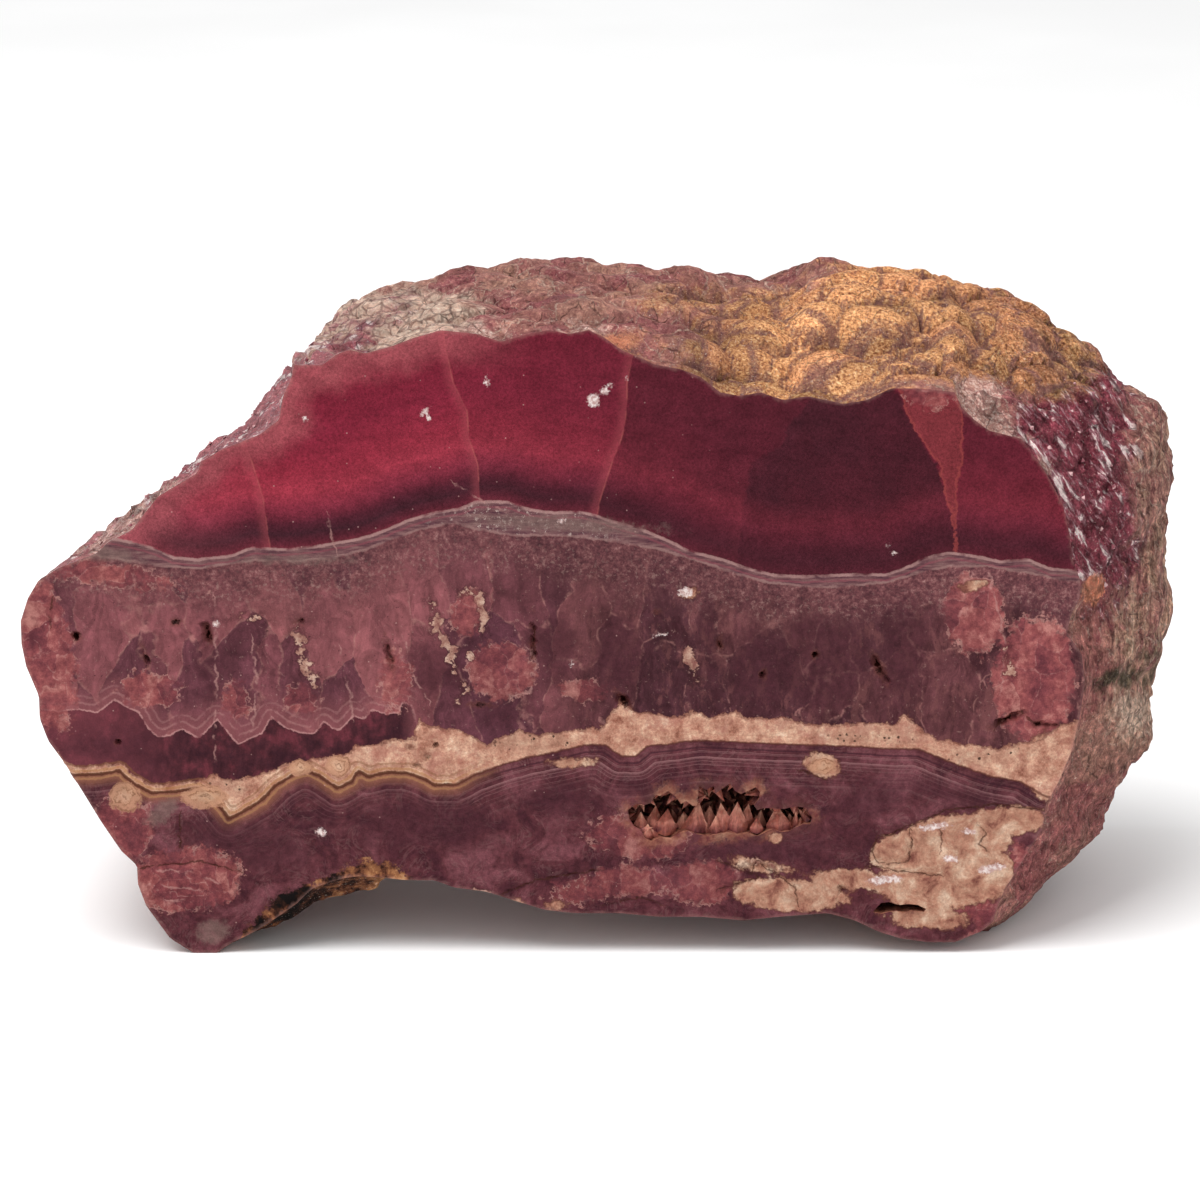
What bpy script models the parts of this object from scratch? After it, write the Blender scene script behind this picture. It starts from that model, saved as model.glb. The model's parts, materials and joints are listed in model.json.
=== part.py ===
"""Rhodochrosite slice: a thick piece of a banded vein, sawn flat at the front and the back.

The stone is one solid. Its rim is the vein's natural skin: scaly lumps on the crown, broken
cleavage on the left slope and the right shoulder, ledges on the flank, and an arched underside
between the two feet that it stands on. A hollow in the cut face holds one crust of crystals.
Lengths are in millimetres until the meshes are made. X runs to the right along the cut face, Y
runs back from it, and Z is up from the surface that the stone stands on.
"""

import math
import random

import bmesh
import bpy
from mathutils import Matrix, Vector, noise

MM = 0.001

THICKNESS = 52.0
FACE_Y = -THICKNESS / 2
GIRTH_DEPTH = 28.0          # depth behind the cut face where the stone is widest
RING_COUNT = 19
RING_CROWDING = 0.35        # rings sit closer together near the cut face
SPAN_POINTS = {"left_side": 18, "left_slope": 20, "crown": 42,
               "shoulder": 20, "flank": 30, "underside": 40}

# The rim, clockwise from the left foot, as (x, z) points of each span in turn.
CUT_FACE_OUTLINE = {
    "left_side": [(-51, 0), (-54, 0), (-57, 2), (-60, 6.5), (-61, 9.5), (-61, 12), (-63, 14),
                  (-65.5, 18), (-68, 22.5), (-70, 26), (-72, 29), (-73, 32), (-73, 35),
                  (-74.5, 39), (-75, 42)],
    "left_slope": [(-75, 45), (-74, 48), (-72.5, 50.5), (-70, 52), (-65, 54), (-63.5, 55.5),
                   (-60.5, 57), (-59, 59), (-57, 61.5), (-54.5, 63), (-52, 64.5), (-51.5, 66),
                   (-49, 67.5), (-46.5, 68.5), (-44, 69.5), (-41.5, 71.5), (-41, 74.5),
                   (-40, 76.5)],
    "crown": [(-39.5, 78.5), (-36, 78.5), (-34, 80), (-32.5, 80.5), (-30.5, 80), (-27, 81),
              (-24.5, 82), (-21, 83), (-16.5, 82.5), (-13.5, 81.5), (-10, 82.5), (-7.5, 83),
              (-5, 82.5), (-2.5, 83), (-0.5, 82), (1.5, 80.5), (6, 78.5), (9, 78),
              (11.5, 77), (14, 75), (16.5, 74.5), (19, 75), (22, 74), (25, 74.5),
              (29.5, 73.5), (32.5, 74), (35.5, 75.5), (39, 75.5)],
    "shoulder": [(43.5, 75), (44.5, 73), (46, 71.5), (48, 70), (52, 69), (55, 65),
                 (57.5, 60.5), (58.5, 56.5), (59, 53)],
    "flank": [(60, 50.5), (60, 48), (59, 46), (58.5, 43.5), (60.5, 40.5), (61, 37),
              (60.5, 32.5), (59.5, 27.5), (58, 23.5), (56.5, 20.5), (56, 17), (53.5, 12.5),
              (51.5, 9), (50.5, 6.5), (50, 4.5), (48.5, 3)],
    "underside": [(45, 1.5), (41.5, 1.5), (38, 2), (35, 3), (32, 4.5), (28.5, 5.5),
                  (22, 5), (17.5, 4.5), (12, 5), (6.5, 5), (1.5, 5.5), (-4.5, 5.5),
                  (-8.5, 6), (-13, 7.5), (-16, 8.5), (-20, 9), (-22.5, 10), (-25, 10),
                  (-28.5, 9.5), (-32.5, 8.5), (-36.5, 7), (-38.5, 6.5), (-40.5, 5),
                  (-43, 4), (-45.5, 3), (-49, 1.5)],
}
GIRTH_OUTLINE = {
    "left_side": [(-50, -0.6), (-53.5, -0.4), (-58, 5), (-61, 13), (-66, 21.5), (-70.5, 29),
                  (-72.5, 36), (-73.5, 40)],
    "left_slope": [(-73.5, 42.5), (-72, 44), (-68.5, 46.5), (-64, 50), (-58, 54),
                   (-52, 59.5), (-47, 64), (-42.5, 68.5), (-39, 73.5)],
    "crown": [(-36.5, 77), (-33, 78.8), (-27, 80.5), (-20, 82.5), (-14.5, 84), (-9, 84.8),
              (-3, 84.8), (0, 83.5), (5.5, 83), (9.5, 83.4), (13, 82.6), (19, 83.2),
              (24, 83), (28, 84), (34.5, 83.5), (40, 83)],
    "shoulder": [(44, 82.5), (48, 81), (52, 80), (57, 78), (61, 75.5), (64, 73),
                 (66, 70.5), (68.5, 68), (71.5, 67), (73, 65), (74, 61.5)],
    "flank": [(74, 57.5), (73.5, 53), (73.5, 48), (74, 43), (74, 40), (73.5, 34.5),
              (72.5, 30), (72, 27), (72.5, 23), (71.5, 19.5), (68, 14), (66.5, 10.5),
              (64, 8), (60, 4.5), (55, 1)],
    "underside": [(50, -1.5), (45, -2), (40, -1.2), (34, 3), (28, 6), (20, 7), (10, 8),
                  (0, 8.5), (-8, 9.5), (-16, 11), (-25, 12), (-33, 11), (-40, 7),
                  (-45, 2), (-47.5, -0.4)],
}
SAWN_BACK_OUTLINE = {
    "left_side": [(-46, -0.4), (-49, -0.2), (-54, 5), (-57, 13), (-62, 22), (-66, 30),
                  (-68, 36)],
    "left_slope": [(-68.5, 41), (-67, 44), (-63, 47), (-57, 51), (-51, 56), (-45, 61),
                   (-40, 66), (-36, 71)],
    "crown": [(-32, 74), (-26, 76), (-18, 77.5), (-9, 78), (-2, 77), (6, 76), (14, 76.5),
              (22, 76), (30, 77), (37, 76)],
    "shoulder": [(43, 75.5), (50, 73), (56, 70.5), (61, 67.5), (65, 63.5), (67.5, 59)],
    "flank": [(68.5, 54), (69, 49), (68, 43), (68.5, 36), (67, 29), (66.5, 22), (63, 15),
              (58, 9), (54, 4)],
    "underside": [(49, -0.4), (44, -0.4), (40, 1), (34, 3.5), (26, 6), (16, 8), (5, 10),
                  (-6, 12), (-18, 13.5), (-28, 12.5), (-36, 9), (-42, 3.5)],
}

# Relief of the skin on each span: (height of the lumps, length of one lump, height of the swell).
RELIEF = {"left_side": (0.8, 9.0, 1.2), "left_slope": (0.9, 8.0, 0.8), "crown": (2.3, 11.0, 0.5),
          "shoulder": (0.9, 9.0, 0.8), "flank": (1.5, 10.0, 1.4), "underside": (1.2, 9.0, 1.6)}
LUMP_STRETCH = (1.0, 1.3, 1.2)      # lumps are shorter in depth and in height than along X
LUMP_TOP = 0.6              # height of a lump's middle, and its fall towards its edge
LUMP_FALL = 1.7
SCALE_TILT = 1.3            # each scale of the crown stands higher towards the cut face
SWELL_LENGTH = 24.0
RELIEF_START = 4.0          # the relief grows from nothing over this depth
LEDGED_SPANS = ("left_slope", "shoulder")
LEDGE_PITCH = 8.0           # cleavage steps on the slope and the shoulder
LEDGE_HEIGHT = 1.3
LEDGE_TREAD = 0.7           # share of a step that rises gently, before it drops
LEDGE_DIP = math.radians(35)

# The weathered chip along the arch, beside the left foot.
CHIP_CENTRE_X = -36.0
CHIP_HALF_LENGTH = 12.0
CHIP_LIFT = 2.6
CHIP_DEPTH = 3.5

# The hollow: its rim in the cut face, clockwise from its left tip.
HOLLOW_RIM = [(2.0, 19.2), (3.8, 20.6), (5.6, 20.9), (7.6, 22.4), (9.4, 21.0), (11.0, 20.8),
              (11.8, 23.2), (13.6, 22.2), (15.6, 23.6), (17.2, 22.4), (19.6, 23.0),
              (19.4, 20.8), (21.6, 20.3), (25.4, 20.4), (26.8, 18.6), (25.6, 17.0),
              (21.6, 16.6), (16.5, 16.2), (12.0, 15.6), (8.0, 15.4), (4.2, 16.4)]
HOLLOW_CENTRE = (14.6, 19.2)
HOLLOW_HALF_SIZE = (12.4, 4.0)
HOLLOW_STEPS = [(-1.0, 1.0), (0.4, 1.0), (3.0, 1.04), (6.5, 0.92), (9.0, 0.62)]
CRUST_GAP = 0.7             # between the crust and the stone, above and below
CRUST_WALL = 0.9
CRUST_RIM_DEPTH = 0.2
CRUST_DEPTH = 8.2
CRUST_STEPS = (0.0, 0.35, 0.72, 1.0)    # where the crust's rings lie, from its rim to its bottom

# The narrow slit in the right foot: its rim, then (depth, scale) of each step in.
SLIT_RIM = [(34.4, 5.7), (35.5, 7.1), (37.0, 6.9), (40.2, 6.8), (41.3, 6.2), (38.2, 5.8)]
SLIT_CENTRE = (37.8, 6.4)
SLIT_HALF_SIZE = (3.5, 0.7)
SLIT_STEPS = [(-1.0, 1.0), (2.0, 0.92), (5.0, 0.55)]

# Pits in the cut face: (x, z, half length, half height, turn in degrees).
PITS = [(34.4, 38.8, 3.2, 1.0, 64.0), (2.2, 34.4, 2.0, 0.9, -50.0), (51.4, 32.2, 2.2, 0.9, 28.0),
        (55.2, 31.2, 0.9, 0.8, 0.0), (-51.3, 43.4, 1.3, 0.7, 80.0), (19.8, 37.8, 0.9, 0.8, 0.0)]
PIT_DEPTH = 1.4

# Crystals of the crust: rows of (depth, pitch along the row, length, radius).
CRYSTAL_SIDES = 6
CRYSTALS_LEFT = 5.2         # where each row starts, and how long it is
CRYSTALS_LENGTH = 19.0
CRYSTAL_LEAN = 0.35
FLOOR_ROWS = [(1.3, 2.9, 3.2, 1.25), (3.9, 2.5, 3.4, 1.15), (6.3, 2.0, 3.0, 0.95)]
ROOF_ROWS = [(1.8, 3.4, 1.6, 0.85), (4.6, 3.8, 1.4, 0.8)]
CRYSTAL_SEED = 7


def clear_scene():
    """Remove whatever objects the file opened with."""
    for old in list(bpy.data.objects):
        bpy.data.objects.remove(old, do_unlink=True)


def new_collection(name):
    collection = bpy.data.collections.new(name)
    bpy.context.scene.collection.children.link(collection)
    return collection


def new_material(name, colour, roughness):
    material = bpy.data.materials.new(name)
    material.use_nodes = True
    shader = material.node_tree.nodes["Principled BSDF"]
    shader.inputs["Base Color"].default_value = (*colour, 1.0)
    shader.inputs["Roughness"].default_value = roughness
    shader.inputs["Metallic"].default_value = 0.0
    return material


def resample(points, count):
    """Space count points evenly along a run of points, leaving its last point out."""
    lengths = [0.0]
    for start, end in zip(points, points[1:]):
        lengths.append(lengths[-1] + math.dist(start, end))
    spaced = []
    leg = 0
    for step in range(count):
        target = lengths[-1] * step / count
        while lengths[leg + 1] < target:
            leg += 1
        share = (target - lengths[leg]) / (lengths[leg + 1] - lengths[leg])
        start, end = points[leg], points[leg + 1]
        spaced.append((start[0] + (end[0] - start[0]) * share,
                       start[1] + (end[1] - start[1]) * share))
    return spaced


def rim_points(outline):
    """One outline as evenly spaced points, the same number in each span."""
    spans = list(outline)
    points = []
    for index, span in enumerate(spans):
        following = outline[spans[(index + 1) % len(spans)]][0]
        points += resample(outline[span] + [following], SPAN_POINTS[span])
    return points


def smooth_step(value):
    value = min(max(value, 0.0), 1.0)
    return value * value * (3 - 2 * value)


def ring_depths():
    """Depths of the rings behind the cut face, closer together near it."""
    last = RING_COUNT - 1
    return [THICKNESS * ((1 - RING_CROWDING) * i / last + RING_CROWDING * (i / last) ** 2)
            for i in range(RING_COUNT)]


def blend(first, second, share):
    return (first[0] + (second[0] - first[0]) * share, first[1] + (second[1] - first[1]) * share)


def section(depth, front, girth, back):
    """The bare rim at one depth: it swells to the girth, then draws in to the sawn back."""
    if depth <= GIRTH_DEPTH:
        share = math.sin(depth / GIRTH_DEPTH * math.pi / 2)
        return [blend(a, b, share) for a, b in zip(front, girth)]
    share = 1 - math.cos((depth - GIRTH_DEPTH) / (THICKNESS - GIRTH_DEPTH) * math.pi / 2)
    return [blend(a, b, share) for a, b in zip(girth, back)]


def chip_lift(x, depth):
    """Height that the weathered chip takes off the arch's edge at the cut face."""
    across = smooth_step(1 - abs(x - CHIP_CENTRE_X) / CHIP_HALF_LENGTH)
    return CHIP_LIFT * across * (1 - depth / CHIP_DEPTH) if depth < CHIP_DEPTH else 0.0


def ledge(depth, z):
    """Cleavage steps, from -0.5 to 0.5: each rises gently and then drops."""
    rise = (z * math.cos(LEDGE_DIP) + depth * math.sin(LEDGE_DIP)) / LEDGE_PITCH
    rise -= math.floor(rise)
    return min(rise / LEDGE_TREAD, (1 - rise) / (1 - LEDGE_TREAD)) - 0.5


def skin_height(span, x, depth, z):
    """How far the skin stands out from the bare rim at one place."""
    height, length, swell = RELIEF[span]
    place = Vector((x, depth, z)) * Vector(LUMP_STRETCH) / length
    distances, centres = noise.voronoi(place)
    skin = height * (LUMP_TOP - LUMP_FALL * distances[0] ** 2)
    if span == "crown":
        skin -= SCALE_TILT * (place.y - centres[0].y)
    skin += swell * noise.noise(Vector((x, depth, z)) / SWELL_LENGTH)
    if span in LEDGED_SPANS:
        skin += LEDGE_HEIGHT * ledge(depth, z)
    return skin * smooth_step(depth / RELIEF_START)


def outward(points, index):
    """Outward direction of a clockwise rim at one of its points, within its own plane."""
    before, after = points[index - 2], points[(index + 2) % len(points)]
    along = Vector((after[0] - before[0], after[1] - before[1])).normalized()
    return -along.y, along.x


def stone_rings():
    """Every ring of the stone, from the cut face to the sawn back, as (x, y, z) points."""
    span_of_point = [span for span, count in SPAN_POINTS.items() for _ in range(count)]
    front = rim_points(CUT_FACE_OUTLINE)
    girth = rim_points(GIRTH_OUTLINE)
    back = rim_points(SAWN_BACK_OUTLINE)
    rings = []
    for depth in ring_depths():
        bare = section(depth, front, girth, back)
        ring = []
        for index, (x, z) in enumerate(bare):
            out_x, out_z = outward(bare, index)
            skin = skin_height(span_of_point[index], x, depth, z)
            lift = chip_lift(x, depth) if span_of_point[index] == "underside" else 0.0
            ring.append((x + out_x * skin, FACE_Y + depth, max(z + out_z * skin + lift, 0.0)))
        rings.append(ring)
    return rings


def loft(name, rings, collection):
    """One closed body through rings of equal length, capped flat at both ends."""
    mesh = bmesh.new()
    rows = [[mesh.verts.new(Vector(point) * MM) for point in ring] for ring in rings]
    for near, far in zip(rows, rows[1:]):
        for index in range(len(near)):
            following = (index + 1) % len(near)
            mesh.faces.new((near[index], near[following], far[following], far[index]))
    mesh.faces.new(rows[0])
    mesh.faces.new(rows[-1])
    bmesh.ops.recalc_face_normals(mesh, faces=mesh.faces)
    data = bpy.data.meshes.new(name)
    mesh.to_mesh(data)
    mesh.free()
    made = bpy.data.objects.new(name, data)
    collection.objects.link(made)
    return made


def inset_rim(rim, centre, half_size, scale, inset, depth):
    """A hollow's rim at one depth, scaled about its centre and drawn in by the inset."""
    wide = scale - inset / half_size[0]
    high = scale - inset / half_size[1]
    return [(centre[0] + (x - centre[0]) * wide, FACE_Y + depth, centre[1] + (z - centre[1]) * high)
            for x, z in rim]


def hollow_ring(depth, inset=0.0):
    """The hollow's wall at one depth, or a ring that keeps clear of it by the inset."""
    return inset_rim(HOLLOW_RIM, HOLLOW_CENTRE, HOLLOW_HALF_SIZE, hollow_scale(depth), inset, depth)


def hollow_scale(depth):
    """Width of the hollow at one depth, as a share of its rim."""
    for (near, first), (far, second) in zip(HOLLOW_STEPS, HOLLOW_STEPS[1:]):
        if depth <= far:
            return first + (second - first) * (depth - near) / (far - near)
    return HOLLOW_STEPS[-1][1]


def cut(target, cutter):
    """Take one cutter out of the target, and leave the cutter as a wire guide."""
    cutter.hide_render = True
    cutter.display_type = "WIRE"
    boolean = target.modifiers.new(cutter.name, "BOOLEAN")
    boolean.object = cutter
    boolean.operation = "DIFFERENCE"
    boolean.solver = "EXACT"


def pit_cutter(number, pit, cutters):
    """A shallow lens-shaped pit, as a stretched ball centred on the cut face."""
    x, z, half_length, half_height, turn = pit
    mesh = bmesh.new()
    bmesh.ops.create_icosphere(mesh, subdivisions=1, radius=1.0)
    stretch = Matrix.Diagonal((half_length, PIT_DEPTH, half_height, 1.0))
    spin = Matrix.Rotation(-math.radians(turn), 4, "Y")
    mesh.transform(Matrix.Translation((x, FACE_Y, z)) @ spin @ stretch)
    mesh.transform(Matrix.Scale(MM, 4))
    data = bpy.data.meshes.new(f"pit_{number}")
    mesh.to_mesh(data)
    mesh.free()
    made = bpy.data.objects.new(data.name, data)
    cutters.objects.link(made)
    return made


def make_slice(parts, cutters):
    """The stone, with its hollow, its slit and its pits cut into the face."""
    stone = loft("slice", stone_rings(), parts)
    stone.data.materials.append(new_material("banded_rhodochrosite", (0.30, 0.05, 0.08), 0.35))
    cut(stone, loft("hollow", [hollow_ring(depth) for depth, _ in HOLLOW_STEPS], cutters))
    slit = [inset_rim(SLIT_RIM, SLIT_CENTRE, SLIT_HALF_SIZE, scale, 0.0, depth)
            for depth, scale in SLIT_STEPS]
    cut(stone, loft("slit", slit, cutters))
    for number, pit in enumerate(PITS):
        cut(stone, pit_cutter(number, pit, cutters))
    return stone


def crust_rings():
    """The crust's cup: down its inner wall, round its rim and along its outer wall."""
    reach = CRUST_DEPTH - CRUST_RIM_DEPTH
    outer = [hollow_ring(CRUST_RIM_DEPTH + share * reach, CRUST_GAP) for share in CRUST_STEPS]
    reach -= CRUST_WALL
    inner = [hollow_ring(CRUST_RIM_DEPTH + share * reach, CRUST_GAP + CRUST_WALL)
             for share in reversed(CRUST_STEPS)]
    return inner + outer


def crystal(mesh, foot, aim, length, radius, turn):
    """One pointed six-sided crystal growing from its foot towards its aim."""
    made = bmesh.ops.create_cone(mesh, cap_ends=True, segments=CRYSTAL_SIDES, radius1=radius,
                                 radius2=0.0, depth=length)
    upright = Matrix.Translation((0.0, 0.0, length / 2))
    lean = Vector(aim).to_track_quat("Z", "Y").to_matrix().to_4x4()
    place = Matrix.Translation(foot) @ lean @ Matrix.Rotation(turn, 4, "Z") @ upright
    bmesh.ops.transform(mesh, matrix=Matrix.Scale(MM, 4) @ place, verts=made["verts"])


def hollow_height(x, top):
    """Height of the hollow's floor or roof at x, on its rim in the cut face."""
    heights = []
    for (x0, z0), (x1, z1) in zip(HOLLOW_RIM, HOLLOW_RIM[1:] + HOLLOW_RIM[:1]):
        if min(x0, x1) <= x < max(x0, x1):
            heights.append(z0 + (z1 - z0) * (x - x0) / (x1 - x0))
    return max(heights) if top else min(heights)


def make_crust(parts, cutters):
    """The crust of crystals: a thin cup that lines the hollow, with crystals grown from it."""
    crust = loft("vug_crystals", crust_rings(), parts)
    crust.data.materials.append(new_material("hollow_crystals", (0.50, 0.22, 0.16), 0.3))
    pick = random.Random(CRYSTAL_SEED)
    mesh = bmesh.new()
    for top, rows in ((False, FLOOR_ROWS), (True, ROOF_ROWS)):
        for depth, pitch, length, radius in rows:
            count = int(CRYSTALS_LENGTH / pitch)
            for number in range(count):
                along = (number + pick.uniform(0.25, 0.75)) / count
                x = CRYSTALS_LEFT + along * CRYSTALS_LENGTH
                on_rim = [(x, hollow_height(x, top))]
                foot = inset_rim(on_rim, HOLLOW_CENTRE, HOLLOW_HALF_SIZE, hollow_scale(depth),
                                 CRUST_GAP + CRUST_WALL / 2, depth)[0]
                up = -1.0 if top else 1.0
                aim = (pick.uniform(-CRYSTAL_LEAN, CRYSTAL_LEAN), pick.uniform(-0.25, 0.1), up)
                size = length * pick.uniform(0.75, 1.1)
                crystal(mesh, foot, aim, size, radius * pick.uniform(0.8, 1.0),
                        pick.uniform(0.0, math.pi))
    data = bpy.data.meshes.new("crystals")
    mesh.to_mesh(data)
    mesh.free()
    crystals = bpy.data.objects.new("crystals", data)
    cutters.objects.link(crystals)
    crystals.hide_render = True
    crystals.display_type = "WIRE"
    join = crust.modifiers.new("crystals", "BOOLEAN")
    join.object = crystals
    join.operation = "UNION"
    join.solver = "EXACT"
    join.use_self = True
    return crust


def main():
    clear_scene()
    parts = new_collection("rhodochrosite_slice")
    cutters = new_collection("cutters")
    make_slice(parts, cutters)
    make_crust(parts, cutters)


main()
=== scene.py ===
"""Rhodochrosite slice: the look of the stone, its crystal-lined hollow and its studio stage.

Run as a script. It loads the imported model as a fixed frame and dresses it: a fine stone with its
banded cut face, weathered rind and sawn back, crystals in the hollow, and a pale stage. Lengths in
the tables below are millimetres, and X, Y and Z are the model's own axes. Places on the cut face
that were read from the 1200 by 1200 photograph are given in its pixels and turned into
millimetres by on_face.
"""

import json
import math

import bmesh
import bpy
import numpy as np
from mathutils import Vector, noise
from mathutils.geometry import delaunay_2d_cdt
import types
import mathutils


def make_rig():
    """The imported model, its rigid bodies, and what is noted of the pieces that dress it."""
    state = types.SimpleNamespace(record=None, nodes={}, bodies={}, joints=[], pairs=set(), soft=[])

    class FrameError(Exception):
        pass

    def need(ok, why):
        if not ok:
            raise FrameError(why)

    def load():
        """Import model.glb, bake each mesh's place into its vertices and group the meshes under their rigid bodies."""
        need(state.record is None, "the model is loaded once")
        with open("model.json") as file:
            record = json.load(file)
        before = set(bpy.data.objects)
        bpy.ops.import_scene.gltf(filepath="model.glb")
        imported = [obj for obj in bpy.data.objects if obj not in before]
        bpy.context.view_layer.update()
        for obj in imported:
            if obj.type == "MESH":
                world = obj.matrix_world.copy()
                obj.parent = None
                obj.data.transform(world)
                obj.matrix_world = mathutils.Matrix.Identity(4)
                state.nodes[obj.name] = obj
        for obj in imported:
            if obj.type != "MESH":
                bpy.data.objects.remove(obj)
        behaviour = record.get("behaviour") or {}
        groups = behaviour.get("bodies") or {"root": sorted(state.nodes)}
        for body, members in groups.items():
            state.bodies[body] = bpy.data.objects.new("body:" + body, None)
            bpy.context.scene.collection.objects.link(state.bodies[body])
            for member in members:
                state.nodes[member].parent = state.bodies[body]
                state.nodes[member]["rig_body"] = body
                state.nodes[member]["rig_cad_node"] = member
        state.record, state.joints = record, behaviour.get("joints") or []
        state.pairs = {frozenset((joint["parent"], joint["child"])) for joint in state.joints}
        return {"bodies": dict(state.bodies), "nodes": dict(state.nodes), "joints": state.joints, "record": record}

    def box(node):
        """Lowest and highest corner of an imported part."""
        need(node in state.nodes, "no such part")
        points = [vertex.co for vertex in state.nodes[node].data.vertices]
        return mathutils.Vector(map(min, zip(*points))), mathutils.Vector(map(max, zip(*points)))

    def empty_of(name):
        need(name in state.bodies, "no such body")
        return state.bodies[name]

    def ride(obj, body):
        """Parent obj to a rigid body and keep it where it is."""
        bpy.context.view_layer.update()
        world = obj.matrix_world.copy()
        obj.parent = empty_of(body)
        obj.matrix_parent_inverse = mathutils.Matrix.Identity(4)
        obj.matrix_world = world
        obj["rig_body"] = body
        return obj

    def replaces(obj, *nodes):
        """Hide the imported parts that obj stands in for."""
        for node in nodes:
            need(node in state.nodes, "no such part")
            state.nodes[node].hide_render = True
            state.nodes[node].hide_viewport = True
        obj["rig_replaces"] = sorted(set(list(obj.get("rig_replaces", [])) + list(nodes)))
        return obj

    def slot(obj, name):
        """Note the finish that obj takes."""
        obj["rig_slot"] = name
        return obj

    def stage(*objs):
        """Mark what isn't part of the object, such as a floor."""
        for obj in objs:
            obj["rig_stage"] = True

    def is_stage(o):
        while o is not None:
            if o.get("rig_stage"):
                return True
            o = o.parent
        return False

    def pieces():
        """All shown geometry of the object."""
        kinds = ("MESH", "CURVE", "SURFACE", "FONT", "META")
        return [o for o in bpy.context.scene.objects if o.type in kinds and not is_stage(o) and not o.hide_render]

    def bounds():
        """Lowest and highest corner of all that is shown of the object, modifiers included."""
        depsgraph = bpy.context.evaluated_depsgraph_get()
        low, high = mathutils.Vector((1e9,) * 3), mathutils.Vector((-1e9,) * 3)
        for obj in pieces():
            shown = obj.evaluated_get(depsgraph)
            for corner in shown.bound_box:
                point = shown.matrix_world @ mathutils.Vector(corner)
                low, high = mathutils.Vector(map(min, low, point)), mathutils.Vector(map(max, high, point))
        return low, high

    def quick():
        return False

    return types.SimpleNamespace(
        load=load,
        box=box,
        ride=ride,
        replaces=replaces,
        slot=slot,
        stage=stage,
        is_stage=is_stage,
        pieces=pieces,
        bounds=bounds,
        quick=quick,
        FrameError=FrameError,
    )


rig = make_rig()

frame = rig.load()
CAD_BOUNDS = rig.bounds()
STONE_LOW, STONE_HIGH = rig.box("slice")

bl_info = {
    "name": "Rhodochrosite Slice",
    "version": (1, 0, 0),
    "blender": (4, 5, 0),
    "location": "View3D > Sidebar > Mineral",
    "description": "Dresses a sawn slice of banded rhodochrosite",
    "category": "Object",
}

MM = 0.001
SIZE_FILE = "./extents.json"

# The stone's form. The cut face is at FACE_Y and depths are measured back from it.
FACE_Y = STONE_LOW[1] / MM
THICKNESS = (STONE_HIGH[1] - STONE_LOW[1]) / MM
GIRTH_DEPTH = 28.0
RING_CROWDING = 0.35
# Points round the rim on each span, before they are crowded.
SPAN_SHARES = {"left_side": 18, "left_slope": 20, "crown": 42,
               "shoulder": 20, "flank": 30, "underside": 40}
SPANS = list(SPAN_SHARES)

CUT_FACE_OUTLINE = {
    "left_side": [
        (-51, 0), (-54, 0), (-57, 2), (-60, 6.5), (-61, 9.5), (-61, 12), (-63, 14), (-65.5, 18),
        (-68, 22.5), (-70, 26), (-72, 29), (-73, 32), (-73, 35), (-74.5, 39), (-75, 42)
    ],
    "left_slope": [
        (-75, 45), (-74, 48), (-72.5, 50.5), (-70, 52), (-65, 54), (-63.5, 55.5), (-60.5, 57), (-59, 59),
        (-57, 61.5), (-54.5, 63), (-52, 64.5), (-51.5, 66), (-49, 67.5), (-46.5, 68.5), (-44, 69.5),
        (-41.5, 71.5), (-41, 74.5), (-40, 76.5)
    ],
    "crown": [
        (-39.5, 78.5), (-36, 78.5), (-34, 80), (-32.5, 80.5), (-30.5, 80), (-27, 81), (-24.5, 82),
        (-21, 83), (-16.5, 82.5), (-13.5, 81.5), (-10, 82.5), (-7.5, 83), (-5, 82.5), (-2.5, 83),
        (-0.5, 82), (1.5, 80.5), (6, 78.5), (9, 78), (11.5, 77), (14, 75), (16.5, 74.5), (19, 75), (22, 74),
        (25, 74.5), (29.5, 73.5), (32.5, 74), (35.5, 75.5), (39, 75.5)
    ],
    "shoulder": [
        (43.5, 75), (44.5, 73), (46, 71.5), (48, 70), (52, 69), (55, 65), (57.5, 60.5), (58.5, 56.5),
        (59, 53)
    ],
    "flank": [
        (60, 50.5), (60, 48), (59, 46), (58.5, 43.5), (60.5, 40.5), (61, 37), (60.5, 32.5), (59.5, 27.5),
        (58, 23.5), (56.5, 20.5), (56, 17), (53.5, 12.5), (51.5, 9), (50.5, 6.5), (50, 4.5), (48.5, 3)
    ],
    "underside": [
        (45, 1.5), (41.5, 1.5), (38, 2), (35, 3), (32, 4.5), (28.5, 5.5), (22, 5), (17.5, 4.5), (12, 5),
        (6.5, 5), (1.5, 5.5), (-4.5, 5.5), (-8.5, 6), (-13, 7.5), (-16, 8.5), (-20, 9), (-22.5, 10),
        (-25, 10), (-28.5, 9.5), (-32.5, 8.5), (-36.5, 7), (-38.5, 6.5), (-40.5, 5), (-43, 4), (-45.5, 3),
        (-49, 1.5)
    ],
}
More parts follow.
